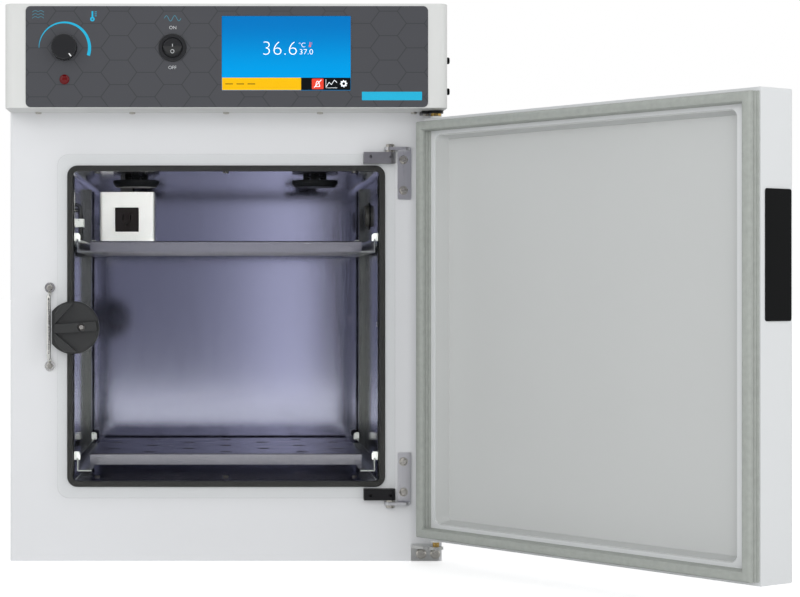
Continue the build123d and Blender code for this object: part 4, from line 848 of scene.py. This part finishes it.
# Section of the seal as points across the strip and away from the door, in millimetres at its usual size.
seal_section = ((0.0, 0.0), (0.0, 2.0), (1.9, 3.3), (0.2, 4.9), (0.2, 6.2), (2.2, 7.6), (0.1, 9.4),
                (0.2, 12.2), (1.3, 14.2), (3.4, 15.0), (7.6, 15.0), (9.7, 14.2), (10.8, 12.2), (10.9, 9.4),
                (8.8, 7.6), (10.8, 6.2), (10.8, 4.9), (9.1, 3.3), (11.0, 2.0), (11.0, 0.0))
section_wide, section_high = 11, 15


class INCUBATOR_OT_door_seal(Dresser):
    """Forms the ribbed seal round the inside of the outer door"""

    bl_idname = "incubator.door_seal"
    bl_label = "Door seal"

    def execute(self, context):
        cabinet = context.scene.incubator_cabinet
        sizes = context.scene.incubator_sizes
        wide, tall = 0.4825, 0.4730
        middle = (0.00225, -0.2605, 0.269)      # on the shut door
        across = sizes.seal_width / section_wide
        out = sizes.seal_height / section_high
        clear_choice()
        bpy.ops.mesh.primitive_plane_add(size=1.0, location=middle, rotation=(math.radians(-90), 0, 0))
        seal = bpy.context.object
        seal.scale = (wide, tall, 1.0)
        bpy.ops.object.transform_apply(location=True, rotation=True, scale=True)
        with shaping(seal):
            bpy.ops.mesh.select_mode(type="EDGE")
            bpy.ops.mesh.select_all(action="SELECT")
            bpy.ops.mesh.delete(type="ONLY_FACE")
            bpy.ops.mesh.select_all(action="SELECT")
            for (u0, v0), (u1, v1) in zip(seal_section, seal_section[1:]):
                rise = (v1 - v0) * out
                before, after = 2 * u0 * across, 2 * u1 * across
                narrower = ((wide - after) / (wide - before), 1.0, (tall - after) / (tall - before))
                bpy.ops.mesh.extrude_region_move(TRANSFORM_OT_translate={"value": (0.0, rise, 0.0)})
                bpy.ops.transform.resize(value=narrower, center_override=middle)
            choose(seal, edges=lambda e: e.is_boundary)
            bpy.ops.mesh.bridge_edge_loops()
            bpy.ops.mesh.select_all(action="SELECT")
            bpy.ops.mesh.remove_doubles(threshold=0.00001)
            bpy.ops.mesh.normals_make_consistent(inside=False)
        swing_open(seal)
        grey = supple("grey vinyl seal", tuple(cabinet.seal), 0.5)
        seat(seal, "ribbed_door_seal", "outer_door", grey, smooth=25.0)
        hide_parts("door_gasket")
        return {"FINISHED"}


class INCUBATOR_OT_outlet_details(Dresser):
    """Fits a dark tapered band from the outlet box up to the chamber ceiling, a painted shadow put where
    there is only shade
    """

    bl_idname = "incubator.outlet_details"
    bl_label = "Outlet details"

    def execute(self, context):
        low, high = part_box("outlet_box")
        ceiling_drop = 0.0014   # from the liner's highest point down to about its ceiling
        wide, thick = 0.016, 0.0016
        overlap = 0.004         # into the box and the ceiling together
        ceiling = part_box("chamber_liner")[1].z - ceiling_drop
        x = (low.x + high.x) / 2 - 0.0012
        y = low.y + 0.016
        # Painted shadow: a dark tapered slab stands where the chamber shows only a reflected shadow above
        # the box.
        shadow_band = slab((wide, thick, ceiling - high.z + overlap), (x, y, (ceiling + high.z) / 2 + 0.0005))
        with shaping(shadow_band):
            bpy.ops.mesh.select_mode(type="FACE")
            choose(shadow_band, faces=lambda f: f.normal.z < -0.9)
            bpy.ops.mesh.extrude_region_move(TRANSFORM_OT_translate={"value": (0.0, 0.0, -0.0008)})
            bpy.ops.transform.resize(value=(1.25, 3.0, 1.0), center_override=(x, y, high.z))
        round_edges(shadow_band, 0.0003)
        # The dark coating is the colour of that painted shadow.
        seat(shadow_band, "outlet_shadow_band", "cabinet", moulded("painted shadow coating", hue("2A2B2C"), 0.4))
        return {"FINISHED"}


# Stage

def soft_world(tone, strength):
    """Plain soft light all round, while the world itself is seen and mirrored as white."""
    world = bpy.data.worlds.new("soft studio")
    world.use_nodes = True
    bpy.context.scene.world = world
    nodes = world.node_tree.nodes
    link = world.node_tree.links.new
    light = nodes["Background"]
    light.inputs[0].default_value = tone
    light.inputs[1].default_value = strength
    white = nodes.new("ShaderNodeBackground")
    white.inputs[0].default_value = (1.0, 1.0, 1.0, 1.0)
    white.inputs[1].default_value = 1.0
    path = nodes.new("ShaderNodeLightPath")
    seen = path.outputs["Is Camera Ray"]
    for ray in ("Is Transmission Ray", "Is Glossy Ray"):
        either = nodes.new("ShaderNodeMath")
        either.operation = "MAXIMUM"
        link(seen, either.inputs[0])
        link(path.outputs[ray], either.inputs[1])
        seen = either.outputs[0]
    mix = nodes.new("ShaderNodeMixShader")
    link(seen, mix.inputs[0])
    link(light.outputs[0], mix.inputs[1])
    link(white.outputs[0], mix.inputs[2])
    link(mix.outputs[0], nodes["World Output"].inputs[0])


def pale_floor(size, reach):
    """A pale floor that runs far behind the cabinet and is a little brighter where it is seen."""
    pale = Finish("pale floor", (0.94, 0.94, 0.94, 1.0), 0.7)
    pale.set("Base Color", pale.blend(pale.noise(2.0), (0.93, 0.93, 0.93, 1.0), (0.95, 0.95, 0.95, 1.0)))
    seen = pale.add("ShaderNodeLightPath", out="Is Camera Ray")
    through = pale.add("ShaderNodeLightPath", out="Is Transmission Ray")
    pale.set("Emission Color", seen.most(through) * 0.5)
    pale.set("Emission Strength", 1.0)
    clear_choice()
    bpy.ops.mesh.primitive_plane_add(size=size, location=(0.0, 0.0, 0.0))
    floor = bpy.context.object
    rear = size / 2 - 0.1
    with shaping(floor):
        bpy.ops.mesh.select_mode(type="EDGE")
        choose(floor, edges=lambda e: all(v.co.y > rear for v in e.verts))
        bpy.ops.mesh.extrude_region_move(TRANSFORM_OT_translate={"value": (0.0, reach, 0.0)})
    floor.name = "studio_floor"
    floor.data.materials.append(pale.material)


def lamp(name, place, target, size, power):
    """A square soft light that looks at a point and leaves no mirror image."""
    data = bpy.data.lights.new(name, "AREA")
    data.size = size
    data.energy = power
    light = bpy.data.objects.new(name, data)
    bpy.context.collection.objects.link(light)
    light.location = place
    light.rotation_euler = (Vector(target) - Vector(place)).to_track_quat("-Z", "Y").to_euler()
    light.visible_glossy = False


def card(name, place, wide, tall, left, right, bend=1.0):
    """A glowing board behind the camera that only shows in reflections, its tone changing along X."""
    glow = Finish(name + " glow", (0.0, 0.0, 0.0, 1.0), 1.0)
    share = glow.axes()[0].ramp(place[0] - wide / 2, place[0] + wide / 2) ** bend
    glow.set("Emission Color", glow.blend(share, left, right))
    glow.set("Emission Strength", 1.0)
    glow.set("Specular IOR Level", 0.0)
    board = slab((wide, 0.02, tall), place)
    board.name = name
    board.data.materials.append(glow.material)
    board.visible_camera = False
    board.visible_diffuse = False
    board.visible_shadow = False
    board.visible_transmission = False


def photo_camera(scene):
    """A level camera 2.5 m in front of the cabinet, shifted so that the open door fits in."""
    data = bpy.data.cameras.new("photo camera")
    data.sensor_width = 36.0
    data.lens = 97.13
    data.shift_x = 0.225
    data.shift_y = -0.01
    camera = bpy.data.objects.new("photo camera", data)
    bpy.context.collection.objects.link(camera)
    camera.location = (-0.0071, -2.745, 0.3133)
    camera.rotation_euler = (math.radians(90), 0.0, 0.0)
    scene.camera = camera


class INCUBATOR_OT_stage(Dresser):
    """Sets the floor, the backdrop, the lights and the camera"""

    bl_idname = "incubator.stage"
    bl_label = "Stage"

    def execute(self, context):
        pale_floor(14.0, 60.0)
        soft_world((0.98, 0.99, 1.0, 1.0), 0.60)
        lamp("front_softbox", (-0.1, -3.4, 0.75), (0.0, 0.0, 0.33), 1.4, 30.0)
        lamp("key_softbox", (-2.0, -2.6, 1.6), (0.0, -0.1, 0.3), 1.8, 14.5)
        lamp("fill_softbox", (2.3, -2.4, 1.2), (0.2, -0.2, 0.3), 1.8, 12.0)
        lamp("chamber_glow", (0.0, -0.23, 0.27), (0.0, 0.2, 0.27), 0.34, 5.2)
        dim = (0.10, 0.095, 0.085, 1.0)
        card("dim_studio_card", (0.0, -4.0, 1.0), 7.0, 5.0, dim, dim)
        card("bright_studio_card", (-0.0685, -3.35, 0.55), 0.713, 2.6,
             (0.27, 0.275, 0.35, 1.0), (1.15, 1.15, 1.40, 1.0), 4.0)
        photo_camera(context.scene)
        context.scene.view_settings.view_transform = "Standard"
        return {"FINISHED"}


steps = (
    INCUBATOR_OT_stage,
    INCUBATOR_OT_painted_sheet,
    INCUBATOR_OT_chamber_steel,
    INCUBATOR_OT_metal_fittings,
    INCUBATOR_OT_plastics_and_rubber,
    INCUBATOR_OT_glass_pane,
    INCUBATOR_OT_overlay_print,
    INCUBATOR_OT_screen,
    INCUBATOR_OT_dial_pointer,
    INCUBATOR_OT_switch_marks,
    INCUBATOR_OT_door_seal,
    INCUBATOR_OT_outlet_details,
)


class INCUBATOR_PT_steps(bpy.types.Panel):
    """Lists every step with the settings it reads"""

    bl_idname = "INCUBATOR_PT_steps"
    bl_label = "Incubator"
    bl_space_type = "VIEW_3D"
    bl_region_type = "UI"
    bl_category = "Incubator"

    def draw(self, context):
        scene = context.scene
        for group in (scene.incubator_cabinet, scene.incubator_panel, scene.incubator_sizes):
            box = self.layout.box()
            for key in group.__annotations__:
                box.prop(group, key)
        for step in steps:
            self.layout.operator(step.bl_idname)


classes = (CabinetColours, PanelColours, SeriesSizes, *steps, INCUBATOR_PT_steps)


def register():
    for item in classes:
        bpy.utils.register_class(item)
    bpy.types.Scene.incubator_cabinet = PointerProperty(type=CabinetColours)
    bpy.types.Scene.incubator_panel = PointerProperty(type=PanelColours)
    bpy.types.Scene.incubator_sizes = PointerProperty(type=SeriesSizes)


def unregister():
    del bpy.types.Scene.incubator_sizes
    del bpy.types.Scene.incubator_panel
    del bpy.types.Scene.incubator_cabinet
    for item in reversed(classes):
        bpy.utils.unregister_class(item)


def main():
    register()
    for step in steps:
        family, action = step.bl_idname.split(".")
        getattr(getattr(bpy.ops, family), action)()


if __name__ == "__main__":
    main()
